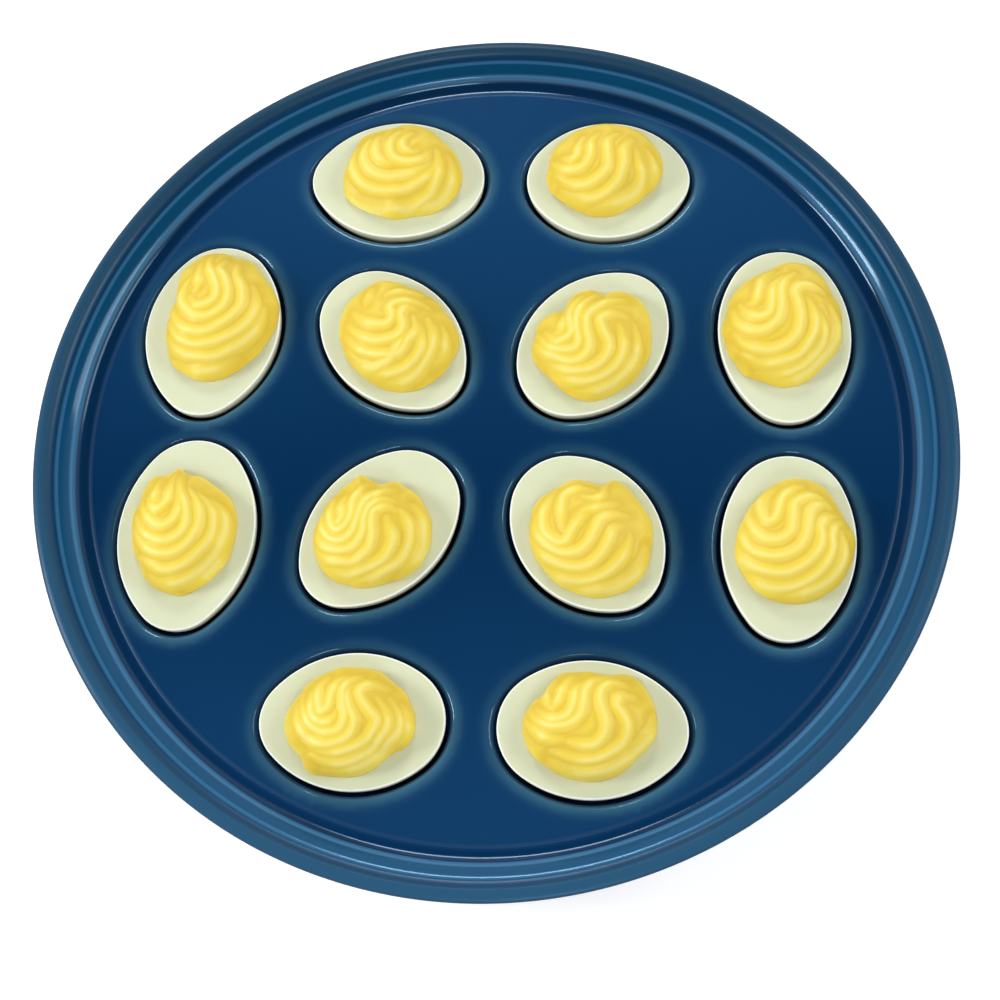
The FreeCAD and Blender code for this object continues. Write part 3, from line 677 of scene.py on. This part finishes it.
# %% Sketches of the twirls
TWIRLS = {1: (
    ((-4, 19.5), (3.5, 21.5), (11, 19), (17, 13.5), (21.5, 8), (23.5, 1), (22.5, -5.5), (18, -11),
     (12.5, -14.5), (6, -15.5), (0.5, -17), (-4, -15.5), (-10.5, -13), (-17.5, -8.5), (-20, -3),
     (-19.5, 3.5), (-17.5, 10.5), (-14.5, 15.5), (-9.5, 18)),
    ((5.5, 13.5), (3, 9), (3, 5.5), (6, 3.5), (9, 4.5)),
    ((0.5, 14.5), (-1.5, 9.5), (-1.5, 4), (1, 0.5), (6, -0.5), (11, 1.5), (12.5, 4.5)),
    ((-6.5, 12.5), (-7.5, 7.5), (-6.5, 2.5), (-3, -1), (1.5, -1.5)),
    ((-10, 11), (-11.5, 7), (-11, 1), (-7.5, -3.5), (-2, -6), (4, -5.5), (9.5, -3.5), (14, 0.5)),
    ((-15, 10), (-16, 4), (-14.5, -2.5), (-10.5, -7.5), (-4, -10), (3, -10), (9, -7.5), (13.5, -3.5),
     (15, 1.5)),
    ((-18.5, -3), (-16.5, -8.5), (-11.5, -12.5), (-4.5, -14.5), (3, -15), (8.5, -13.5), (13, -10.5),
     (15, -5.5), (16, 0.5), (15, 7)),
    ((2, -16.5), (9.5, -14.5), (16, -11.5), (19.5, -6.5), (20.5, -0.5), (19, 6)),
    ((-8.5, -14), (-3.5, -15.5), (1, -17)),
), 2: (
    ((-3, 21.5), (4, 21), (11, 18.5), (15.5, 14), (18.5, 9), (19.5, 3), (17.5, -3), (13.5, -7.5),
     (8, -11.5), (3, -15), (-3, -16), (-8.5, -14.5), (-14.5, -11), (-20, -6), (-22, -0.5), (-21.5, 6),
     (-19.5, 11.5), (-16, 15.5), (-11, 19)),
    ((-9, 11.5), (-10.5, 7), (-11, 2.5), (-13.5, 2), (-16.5, 4)),
    ((-3.5, 12.5), (-6, 8), (-6, 3), (-8, -1.5), (-12, -2.5), (-16.5, -0.5), (-20, 4)),
    ((3.5, 12.5), (0, 8.5), (0, 3), (0, -2.5), (-3, -6), (-8, -8), (-13.5, -6.5), (-19, -2)),
    ((8.5, 10), (6, 5.5), (5.5, -0.5), (4, -6), (0.5, -10), (-4.5, -12), (-10.5, -11), (-17, -8)),
    ((10, 5.5), (11, 0.5), (12, -3.5), (10.5, -7.5), (6, -11), (0, -14), (-7, -14.5)),
    ((14, 7), (16, 3), (16, -2), (13.5, -6)),
), 3: (
    ((-1.5, 26), (2.5, 27), (7.5, 26), (11.5, 23), (14, 19.5), (16.5, 14.5), (19, 9), (19.5, 2.5),
     (18.5, -4), (15, -8.5), (11.5, -12.5), (8.5, -16), (4, -18.5), (-1.5, -19.5), (-7.5, -18),
     (-13.5, -15.5), (-17, -11), (-20, -4.5), (-21, 2), (-19.5, 9), (-17, 15), (-13, 19.5), (-8, 23)),
    ((-4.5, 21.5), (-8, 17.5), (-9.5, 11.5), (-10.5, 7), (-13.5, 7.5)),
    ((-1.5, 17.5), (-4.5, 13), (-5, 7), (-6, 2.5), (-9.5, 1), (-13.5, 3.5), (-16, 8)),
    ((3, 19), (-0.5, 15.5), (-2, 10.5), (-2, 4.5), (-3.5, -0.5), (-7.5, -3.5), (-12, -3), (-16.5, 1),
     (-18.5, 7.5)),
    ((13, 12.5), (9.5, 13.5), (5, 13.5), (2.5, 10.5), (3.5, 5.5), (4, 0), (2.5, -5.5), (-1.5, -9),
     (-7.5, -10), (-13.5, -7.5), (-18, -2.5)),
    ((7, 8), (8.5, 3.5), (9, -2), (7, -7), (3.5, -11.5), (-2.5, -13.5), (-9, -13.5), (-15, -10)),
    ((10.5, 3.5), (12, -0.5), (12, -5.5), (9, -10.5), (4, -15), (-3, -17), (-10, -15.5)),
    ((15, 7.5), (17, 2.5), (17, -2.5), (14, -7.5), (10, -12), (6, -16), (0.5, -18.5), (-6, -18)),
), 4: (
    ((-2, 22), (2, 23), (6.5, 22.5), (11.5, 20), (14.5, 16), (17.5, 10.5), (20.5, 5), (21, -0.5),
     (19.5, -6.5), (16, -12.5), (11, -16.5), (5.5, -19), (-1, -19.5), (-6.5, -18), (-11.5, -14),
     (-15, -9), (-17, -3), (-16.5, 4), (-14, 9.5), (-11, 15), (-7, 19.5)),
    ((-5, 17.5), (-8.5, 14.5), (-9.5, 10), (-8, 5.5), (-5.5, 5.5), (-4, 9), (-2.5, 13.5), (1, 17),
     (4.5, 18)),
    ((-11.5, 14), (-13, 8.5), (-11.5, 2.5), (-8, -1), (-4, -1.5), (-0.5, 1), (0.5, 6), (1, 10.5),
     (4, 13), (8, 14), (11.5, 12.5)),
    ((-14.5, 9.5), (-15, 3), (-13, -3), (-8.5, -6), (-3.5, -6.5), (1.5, -4.5), (4, -0.5), (5, 4),
     (6.5, 9), (10, 11.5), (13.5, 11)),
    ((-16.5, 2), (-16, -4), (-12.5, -8.5), (-7, -11), (-2, -11.5), (3, -9.5), (7, -6), (9, -1.5),
     (9, 3.5), (11.5, 7), (14.5, 8)),
    ((-15.5, -8), (-11.5, -12.5), (-6, -15.5), (0, -15.5), (6, -13), (10, -9), (12.5, -4),
     (12.5, 0.5), (14, 4.5), (17, 6.5)),
    ((16, 2.5), (17, -2), (16, -7), (12.5, -12), (7.5, -15.5), (1.5, -17.5), (-4, -17.5)),
), 5: (
    ((-7, 18), (-2, 18), (3.5, 17.5), (9, 17.5), (13.5, 16), (16.5, 12.5), (19, 8), (20.5, 3.5),
     (19.5, -2), (16.5, -6), (13.5, -9), (11, -12.5), (7, -15), (1.5, -16.5), (-4, -16), (-10, -15),
     (-14, -12.5), (-17, -10), (-20, -6), (-22, -1), (-21.5, 4), (-18.5, 8), (-15.5, 10.5),
     (-13.5, 14.5), (-10.5, 17)),
    ((-12, 13.5), (-14, 10), (-13.5, 6), (-11.5, 4)),
    ((-6, 15.5), (-9, 11.5), (-10, 8), (-11.5, 5), (-14, 4.5)),
    ((-2, 13), (-5, 10), (-5.5, 6), (-7, 2), (-10.5, 0.5), (-14, 1.5), (-17.5, 4.5)),
    ((5.5, 15), (0.5, 13.5), (-2, 9.5), (-2.5, 5.5), (-3.5, 1.5), (-7, -1), (-12, -1.5), (-16.5, 0.5),
     (-19.5, 4)),
    ((-7.5, -6), (-12.5, -5.5), (-17, -3), (-20.5, 0.5)),
    ((10.5, 12.5), (6, 13), (3, 10.5), (2.5, 6.5), (3.5, 3), (4.5, -1), (3.5, -4.5), (0.5, -7),
     (-4.5, -7), (-7.5, -6)),
    ((13, 9), (9, 8.5), (7.5, 5.5), (9.5, 2.5), (11, -1), (10, -5), (6.5, -8.5), (1, -11), (-6, -11),
     (-12.5, -9)),
    ((19, 3.5), (18.5, -1), (15.5, -5), (11, -9.5), (6, -13), (0, -14.5), (-7, -14), (-13, -11.5)),
), 6: (
    ((-3.5, 17), (2, 17), (7.5, 16), (12, 13), (15.5, 10.5), (18.5, 6.5), (20.5, 2), (20, -3.5),
     (18, -8), (14.5, -10), (11.5, -11.5), (8, -15), (3.5, -17), (-2, -18), (-8, -18), (-13, -16),
     (-15.5, -11.5), (-19, -8), (-21, -3), (-20.5, 2.5), (-18, 7), (-14.5, 11.5), (-9.5, 15)),
    ((-7.5, 12), (-9.5, 8.5), (-9, 3.5), (-7.5, 0.5), (-5.5, 2), (-5, 6), (-4, 10), (-1, 13)),
    ((-11, 9), (-11.5, 4.5), (-10.5, -0.5), (-7, -3), (-3.5, -2), (-2, 2)),
    ((-15, 6), (-13.5, 0.5), (-10.5, -4), (-6, -6), (-1.5, -5), (0, -1), (-1, 3.5), (-1.5, 7.5),
     (0.5, 11), (4, 12.5)),
    ((-16.5, 3), (-15.5, -2.5), (-12.5, -7), (-7, -9.5), (-1.5, -8.5), (2, -6), (3, -2), (1, 2),
     (0, 6.5), (1.5, 10)),
    ((12, 9), (7.5, 10), (4.5, 8.5), (4, 5.5), (6.5, 2), (9.5, -1.5), (8.5, -5.5), (5, -9),
     (0.5, -11), (-5, -12), (-11, -10.5)),
    ((10, 5), (12.5, 0.5), (12.5, -4), (10, -8), (6, -12), (0.5, -14.5), (-5.5, -14.5),
     (-11.5, -12.5)),
    ((13.5, 5.5), (16, 1), (16, -4), (13, -8), (9, -12), (4.5, -15), (-1, -16.5), (-7, -16.5)),
    ((17, 4.5), (18.5, 0), (18, -5), (15.5, -8.5)),
), 7: (
    ((-7.5, 20.5), (-4.5, 22.5), (-1.5, 21), (3.5, 19.5), (9, 16), (13.5, 12.5), (16.5, 7.5),
     (17.5, 2.5), (17, -3), (16, -8), (13, -12.5), (10, -16), (6.5, -19.5), (2, -22), (-3, -21.5),
     (-8.5, -19.5), (-12, -16), (-15, -10.5), (-17.5, -5), (-18.5, 0.5), (-18.5, 5.5), (-17, 10),
     (-15.5, 14.5), (-13, 19)),
    ((-8.5, 16), (-9, 11.5), (-8.5, 8), (-5.5, 6.5)),
    ((-4, 16.5), (-4, 11.5), (-4, 7), (-7, 4.5), (-10, 6.5), (-11.5, 11)),
    ((-1.5, 11), (0.5, 5.5), (-0.5, 1), (-4, -1.5), (-8, 0), (-11.5, 3.5), (-14.5, 8.5)),
    ((-2, 18), (0, 11), (2.5, 5.5), (3.5, 0), (2, -4), (-2.5, -6.5), (-7.5, -5.5), (-12.5, -2),
     (-15.5, 3.5)),
    ((2.5, 12.5), (6, 7.5), (7.5, 2), (6.5, -3.5), (3.5, -8), (-1, -10.5), (-6.5, -10), (-12, -6.5),
     (-16.5, -0.5)),
    ((5.5, 11), (10, 6.5), (11.5, 1.5), (11, -4.5), (8, -9), (3.5, -13.5), (-2, -15.5), (-7.5, -14),
     (-12.5, -10.5)),
    ((10, 9), (13.5, 5.5), (15, 0.5), (14, -5), (11.5, -10.5), (7.5, -15), (2.5, -18.5), (-3.5, -19),
     (-9, -17)),
    ((16, -3.5), (14, -9), (11, -13.5), (7.5, -17), (3.5, -20.5)),
), 8: (
    ((-5, 29), (0.5, 29.5), (6.5, 27.5), (12, 25.5), (16.5, 20), (20.5, 14.5), (23, 8.5), (23, 2),
     (20.5, -4.5), (17.5, -9.5), (14, -13.5), (11, -16.5), (5.5, -19.5), (-0.5, -20.5), (-6.5, -18),
     (-12, -15), (-15, -9), (-16.5, -2.5), (-16, 4.5), (-14.5, 10.5), (-14, 17), (-13, 21.5),
     (-10, 25)),
    ((-5, 21.5), (-4.5, 16), (-3.5, 11.5), (-5, 9.5)),
    ((-2, 25.5), (-1, 19.5), (1.5, 14.5), (3.5, 9.5), (3, 5.5), (-0.5, 3.5), (-4, 4), (-7, 8)),
    ((-7, 15.5), (-10, 11.5), (-9.5, 6), (-5, 1), (-0.5, -1), (4, 0.5), (7, 4), (7.5, 9), (5.5, 14.5),
     (3, 19), (4.5, 23.5)),
    ((-16, 8.5), (-10, -2), (-4.5, -5.5), (1, -6), (6, -3.5), (10, 0), (12.5, 4.5), (12, 10),
     (9.5, 16), (8.5, 22)),
    ((-14, -0.5), (-10, -6.5), (-4, -10), (2, -10), (7.5, -8), (12.5, -4.5), (16, 1), (17, 7),
     (15, 13.5)),
    ((-14, -6.5), (-9, -12), (-2.5, -14), (4, -14), (10, -11), (15, -6.5), (18.5, -1), (20, 5.5)),
    ((-11.5, -14.5), (-5, -17.5), (1, -18), (7, -16.5), (12, -13)),
), 9: (
    ((-9.5, 20.5), (-5.5, 22), (-0.5, 21.5), (4.5, 19.5), (9, 18), (13.5, 15), (17.5, 10), (21, 5),
     (23, -0.5), (22, -6), (19.5, -11), (17, -14.5), (13.5, -17), (9.5, -19.5), (4, -20),
     (-1.5, -19.5), (-6.5, -17), (-11, -13.5), (-15, -9.5), (-17.5, -4.5), (-19, 1), (-19, 6.5),
     (-17.5, 12), (-14.5, 16)),
    ((-8, 16), (-8.5, 11.5), (-9, 8)),
    ((10, 14), (4.5, 14.5), (0, 13), (-2.5, 11)),
    ((12.5, 8.5), (7.5, 9.5), (3, 9), (0, 6.5), (1, 3), (-0.5, 0), (-4.5, 0), (-9, 2), (-14, 6.5)),
    ((9, 6), (5.5, 6.5), (4, 3.5), (5, -0.5), (3.5, -4), (-0.5, -5.5), (-5.5, -5.5), (-11, -2.5),
     (-15.5, 2)),
    ((8.5, 2.5), (9.5, -2), (7, -5.5), (4.5, -9.5), (0, -10.5), (-6.5, -9.5), (-12, -6.5), (-16, -2)),
    ((6, -1), (5, -5.5), (2.5, -9.5), (0, -12.5), (-5, -14), (-10.5, -11.5), (-15, -6.5)),
    ((10.5, 0), (11.5, -4.5), (11, -9), (7.5, -13.5), (3, -15.5), (-3, -16), (-8.5, -13.5)),
    ((13.5, 3), (15, -2), (14.5, -7.5), (12, -13), (8, -17), (2.5, -18.5), (-3, -17.5)),
    ((18, 1.5), (19, -3), (18, -8.5), (14.5, -13.5)),
), 10: (
    ((-6, 18), (-0.5, 19), (3.5, 17.5), (8.5, 18.5), (13.5, 17), (17, 13.5), (19, 8), (19.5, 1.5),
     (19, -5.5), (16.5, -11), (13.5, -15.5), (9, -18.5), (4.5, -21), (-0.5, -22.5), (-6, -21.5),
     (-10.5, -18.5), (-14.5, -14.5), (-19, -10), (-21.5, -4), (-20.5, 1.5), (-18.5, 6.5), (-15, 9.5),
     (-11, 11), (-9, 15)),
    ((-9.5, 7), (-10.5, 2), (-10.5, -1), (-13.5, -2)),
    ((-4.5, 13.5), (-7.5, 9), (-8, 3), (-7, -2), (-9.5, -4.5), (-13, -4.5), (-16.5, 0)),
    ((1, 14), (-3.5, 9.5), (-5.5, 5), (-5.5, -0.5), (-4.5, -5.5), (-6.5, -8), (-11.5, -7.5),
     (-16, -5), (-19.5, 0.5)),
    ((10.5, 12), (5, 10.5), (1, 7.5), (-2, 3.5), (-2, -1.5), (-1, -6), (-2, -10), (-6.5, -12),
     (-12, -10), (-17, -7), (-20.5, -2.5)),
    ((11, 5), (6, 5), (2.5, 2.5), (3.5, -1.5), (5.5, -6), (4.5, -10.5), (0.5, -14), (-5.5, -15),
     (-12, -13), (-17, -9.5)),
    ((9, 1), (10, -3.5), (10, -8), (8, -12.5), (3, -16.5), (-3, -18), (-9.5, -16.5), (-14.5, -13)),
    ((14, 2.5), (15, -3.5), (14, -9.5), (10.5, -14.5), (5.5, -18.5), (-1, -21), (-7, -20)),
), 11: (
    ((-9, 16), (-4.5, 18), (0.5, 17), (4, 16.5), (8, 18), (12, 16), (15, 12.5), (18, 8.5), (20.5, 4),
     (21, -1), (21, -6.5), (20, -11), (17, -15.5), (13.5, -19), (9.5, -20.5), (4, -22), (-1.5, -21),
     (-7, -19), (-12, -15), (-16, -10.5), (-18.5, -5.5), (-19.5, -0.5), (-19, 5), (-17, 10),
     (-13.5, 13.5)),
    ((5.5, 14), (4.5, 9.5), (1.5, 8.5), (-2, 9.5)),
    ((2, 12), (-3.5, 12.5), (-7.5, 10), (-8.5, 5.5), (-8, 0.5), (-7, -3.5)),
    ((-11, 11.5), (-13.5, 7), (-14.5, 2), (-13.5, -3), (-9.5, -6.5), (-6.5, -6.5), (-4.5, -3),
     (-2, 0.5), (1.5, 3)),
    ((9.5, 7), (4.5, 5), (0, 3.5), (-4, 1)),
    ((-17, 3.5), (-16.5, -2), (-13, -7), (-8, -10), (-3, -10), (0.5, -7.5), (2.5, -3.5), (4.5, 0.5),
     (8, 2.5), (13, 3)),
    ((-18.5, -3.5), (-15, -9), (-10, -12.5), (-4.5, -14.5), (0.5, -14), (4.5, -11), (7, -6.5),
     (8.5, -2.5), (11.5, -1)),
    ((-15.5, -11), (-10.5, -15.5), (-4.5, -18), (1.5, -18), (6.5, -16), (10.5, -12.5), (13, -8),
     (14, -3)),
    ((-9, -17), (-2.5, -20), (4, -20.5), (9.5, -19.5), (14.5, -16), (18, -11.5), (19.5, -6)),
), 12: (
    ((-10, 15.5), (-7, 18), (-3, 16.5), (1, 15), (5, 16), (8.5, 14), (12.5, 11.5), (15.5, 7.5),
     (18, 2.5), (18, -3.5), (16.5, -8.5), (14, -13.5), (10, -17), (5.5, -19), (0.5, -20), (-4, -21),
     (-8, -20), (-12, -19.5), (-16, -17), (-19, -13), (-21, -8), (-21.5, -2.5), (-20, 2.5),
     (-18, 7.5), (-15, 11)),
    ((-10, 8), (-11, 4), (-10, 0), (-12, -2), (-14.5, 1)),
    ((-14.5, 7.5), (-15, 3.5), (-14, -1.5), (-11.5, -4.5), (-8.5, -3), (-7, 0.5), (-7, 5.5), (-5, 10),
     (-2.5, 13)),
    ((-17.5, 4), (-17.5, -1.5), (-14.5, -6.5), (-10, -8), (-6.5, -6), (-5, -2), (-4, 2.5), (-2, 6.5),
     (2, 9.5), (6, 10.5)),
    ((-19, -2), (-17.5, -7.5), (-13.5, -10.5), (-8, -11), (-4.5, -9), (-2.5, -5), (-2.5, -1),
     (-1, 3.5), (2.5, 6), (7, 6)),
    ((-20, -8.5), (-15.5, -13), (-9.5, -14.5), (-4.5, -14), (-0.5, -10.5), (0.5, -6.5), (0, -2),
     (0.5, 1.5), (4.5, 3.5), (8, 2)),
    ((-17, -14.5), (-11, -17.5), (-5, -17.5), (0.5, -15.5), (5, -12.5), (7, -7.5), (6, -3.5),
     (4.5, 0)),
    ((-9.5, -19.5), (-2.5, -19.5), (3.5, -17), (9, -13.5), (11.5, -9), (12, -3.5), (10.5, 1),
     (8, 3.5)),
    ((7.5, -18), (12.5, -13.5), (15.5, -8.5), (16, -3), (15, 2.5), (12, 6.5)),
)}

# %% Raise the domes
RINGS, SPOKES, CURVE_STEPS = 84, 240, 12
# Height of a dome, the two powers of its curve, and the most that it may reach with its ridges.
DOME, TOP_POWER, FOOT_POWER, TALLEST = 12.3, 2.3, 0.6, 13.4
# Height and half width of a ridge, the power of its curve, and how low and how long its ends are.
RIDGE, RIDGE_WIDTH, RIDGE_POWER = 1.0, 2.7, 1.5
END_HEIGHT, END_STEPS = 0.3, 24
# How far from a crest the open cream starts to rise, over what distance, and how high.
VALLEY, VALLEY_SIDE, OPEN_CREAM = 2.2, 2.6, 0.55


def smooth_line(points, closed=False):
    """A smooth curve through the points of a line."""
    points = np.array(points, float)
    if closed:
        points = np.concatenate([points[-1:], points, points[:2]])
    else:
        ends = 2 * points[[0, -1]] - points[[1, -2]]
        points = np.concatenate([ends[:1], points, ends[1:]])
    before, start, end, after = points[:-3], points[1:-2], points[2:-1], points[3:]
    s = np.linspace(0, 1, CURVE_STEPS, endpoint=False)[:, None, None]
    curve = (2 * start + (end - before) * s + (2 * before - 5 * start + 4 * end - after) * s ** 2
             + (3 * start - before - 3 * end + after) * s ** 3) / 2
    return curve.transpose(1, 0, 2).reshape(-1, 2)


def make_filling(number):
    outline, *ridges = TWIRLS[number]
    base = np.array(EGG_SHAPES[number - 1][:2])
    edge_line = smooth_line(outline, closed=True)
    middle = (edge_line.max(0) + edge_line.min(0)) / 2
    heading = np.arctan2(*(edge_line - middle).T[::-1])
    order = np.argsort(heading)
    size = np.hypot(*(edge_line - middle).T)
    spokes = np.linspace(-math.pi, math.pi, SPOKES, endpoint=False)
    reach = np.interp(spokes, heading[order], size[order], period=2 * math.pi)
    rho, spoke = np.meshgrid(np.sin(np.linspace(0, math.pi / 2, RINGS)), spokes, indexing="ij")
    x = middle[0] + rho * reach * np.cos(spoke)
    y = middle[1] + rho * reach * np.sin(spoke)
    # The relief is 1 on a crest. Each ridge gets lower towards its ends, and the open cream beyond
    # the valleys rises again.
    relief, far = np.zeros(x.shape), np.full(x.shape, np.inf)
    for ridge in ridges:
        crest = smooth_line(ridge)
        from_end = np.minimum(np.arange(len(crest)), np.arange(len(crest))[::-1])
        heights = np.minimum(END_HEIGHT + from_end / END_STEPS, 1)
        for (crest_x, crest_y), height in zip(crest, heights):
            away = np.hypot(x - crest_x, y - crest_y)
            relief = np.maximum(relief, height - (away / RIDGE_WIDTH) ** RIDGE_POWER)
            far = np.minimum(far, away)
    relief = np.maximum(relief, OPEN_CREAM * np.clip((far - VALLEY) / VALLEY_SIDE, 0, 1))
    points = np.stack([x, y, DOME * (1 - rho ** TOP_POWER) ** FOOT_POWER], -1)
    around = np.roll(points, -1, 1) - np.roll(points, 1, 1)
    normal = np.cross(np.gradient(points, axis=0), around)
    length = np.linalg.norm(normal, axis=-1, keepdims=True)
    normal = np.where(length > ZERO, normal / np.maximum(length, ZERO), [0, 0, 1])
    normal[0] = [0, 0, 1]
    points = points + normal * (RIDGE * (relief - OPEN_CREAM))[..., None]
    points[0] = points[0].mean(0)
    points[..., 2] = np.clip(points[..., 2], 0, TALLEST)
    points = (points + [*base, CUT_FACE]) * MM
    rows = np.arange(RINGS * SPOKES).reshape(RINGS, SPOKES)
    beside = np.roll(rows, -1, 1)
    quads = np.stack([rows[1:-1], rows[2:], beside[2:], beside[1:-1]], -1).reshape(-1, 4)
    top = np.stack([np.zeros(SPOKES, int), rows[1], beside[1]], -1)
    foot = [rows[-1][::-1].tolist()]
    mesh = bpy.data.meshes.new(f"twirled_filling_{number}")
    mesh.from_pydata(points.reshape(-1, 3).tolist(), [], quads.tolist() + top.tolist() + foot)
    mesh.attributes.new("relief", "FLOAT", "POINT").data.foreach_set("value", relief.reshape(-1))
    mesh.shade_smooth()
    mesh.materials.append(yolk)
    piece = bpy.data.objects.new(f"twirled_filling_{number}", mesh)
    bpy.context.scene.collection.objects.link(piece)
    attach(piece, "root")
    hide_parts(f"egg_filling_{number}")


for number in range(1, EGGS + 1):
    make_filling(number)
print("fillings raised", EGGS)

# %% [markdown]
# ## Floor, lamps and camera
# The dish lies on a plain white floor. Its flat glossy floor mirrors whatever hangs overhead, so the
# studio is dark above and bright lower down: soft lamps stand round the table below fifty degrees.

# %% Floor
SPAN, BELOW = 6.0, 0.2 * MM
PAPER_GLOW = 0.42
floor_mesh = bpy.data.meshes.new("studio_floor")
floor_mesh.from_pydata([(-SPAN, -SPAN, 0), (SPAN, -SPAN, 0), (SPAN, SPAN, 0), (-SPAN, SPAN, 0)],
                       [], [(0, 1, 2, 3)])
floor = bpy.data.objects.new("studio_floor", floor_mesh)
bpy.context.scene.collection.objects.link(floor)
floor.location.z = -BELOW


def paper_floor():
    finish, tree = new_finish("white_paper_floor")
    path = add(tree, "LightPath")
    matte = add(tree, "BsdfDiffuse", {"Color": linear("f2f2f2")})
    glow = add(tree, "Emission", {"Color": (1, 1, 1, 1), "Strength": PAPER_GLOW})
    both = add(tree, "AddShader", {0: matte.outputs[0], 1: glow.outputs[0]})
    give(finish, add(tree, "MixShader", {0: path.outputs["Is Camera Ray"], 1: matte.outputs[0],
                                         2: both.outputs[0]}))
    return finish


floor_mesh.materials.append(paper_floor())

# %% Lamps
AIM = Vector((0, 0, 30 * MM))


def softbox(name, azimuth, elevation, distance, width, height, watts):
    """A rectangular soft lamp that stands round the table and looks at the dish."""
    lamp = bpy.data.lights.new(name, "AREA")
    lamp.shape = "RECTANGLE"
    lamp.size, lamp.size_y = width, height
    lamp.energy = watts
    stand = bpy.data.objects.new(name, lamp)
    turn, tilt = math.radians(azimuth), math.radians(elevation)
    away = Vector((math.cos(turn) * math.cos(tilt), math.sin(turn) * math.cos(tilt),
                   math.sin(tilt)))
    stand.location = AIM + away * distance
    stand.rotation_euler = (-away).to_track_quat("-Z", "Y").to_euler()
    bpy.context.scene.collection.objects.link(stand)
    return stand


softbox("key_softbox", 185, 30, 1.3, 0.38, 0.28, 8.5)
softbox("front_softbox", 278, 38, 1.3, 0.3, 0.25, 3.3)
softbox("back_softbox", 100, 38, 1.3, 0.3, 0.25, 4.2)
softbox("fill_softbox", 10, 36, 1.3, 0.65, 0.4, 5.8)

# %% World
# How high a direction looks where the bright part ends and where the dark part starts.
BRIGHT_BELOW, DARK_ABOVE = 0.45, 0.75
BRIGHT, DARK = 1.1, 0.08

world = bpy.data.worlds.new("studio")
bpy.context.scene.world = world
world.use_nodes = True
world.node_tree.nodes.clear()
tree = world.node_tree
view = add(tree, "TexCoord").outputs["Generated"]
up = add(tree, "SeparateXYZ", {0: view}).outputs["Z"]
bright = mapped(tree, up, BRIGHT_BELOW, DARK_ABOVE, BRIGHT, DARK, interpolation_type="SMOOTHSTEP")
sky = add(tree, "Background", {"Color": (1, 1, 1, 1), "Strength": bright})
output = add(tree, "OutputWorld")
tree.links.new(sky.outputs[0], output.inputs["Surface"])

# %% Camera
AZIMUTH = math.radians(14.412)
ELEVATION = math.radians(68.988)
ROLL = math.radians(-12.342)
DISTANCE = 489.25 * MM
SIDE_STEP = 4.480 * MM
UP_STEP = -24.103 * MM
RIM_HEIGHT = 32.8 * MM
SENSOR, LENS = 36, 1.48439

back = Vector((math.sin(AZIMUTH) * math.cos(ELEVATION), -math.cos(AZIMUTH) * math.cos(ELEVATION),
               math.sin(ELEVATION)))
level = Vector((0, 0, 1)).cross(back).normalized()
upright = back.cross(level)
right = math.cos(ROLL) * level + math.sin(ROLL) * upright
top = -math.sin(ROLL) * level + math.cos(ROLL) * upright
camera_data = bpy.data.cameras.new("camera")
camera_data.sensor_width = SENSOR
camera_data.lens = SENSOR * LENS
camera = bpy.data.objects.new("camera", camera_data)
place = SIDE_STEP * right + UP_STEP * top + DISTANCE * back + Vector((0, 0, RIM_HEIGHT))
camera.matrix_world = Matrix((
    (right.x, top.x, back.x, place.x), (right.y, top.y, back.y, place.y),
    (right.z, top.z, back.z, place.z), (0, 0, 0, 1)))
bpy.context.scene.collection.objects.link(camera)
bpy.context.scene.camera = camera
bpy.context.scene.view_settings.view_transform = "Standard"
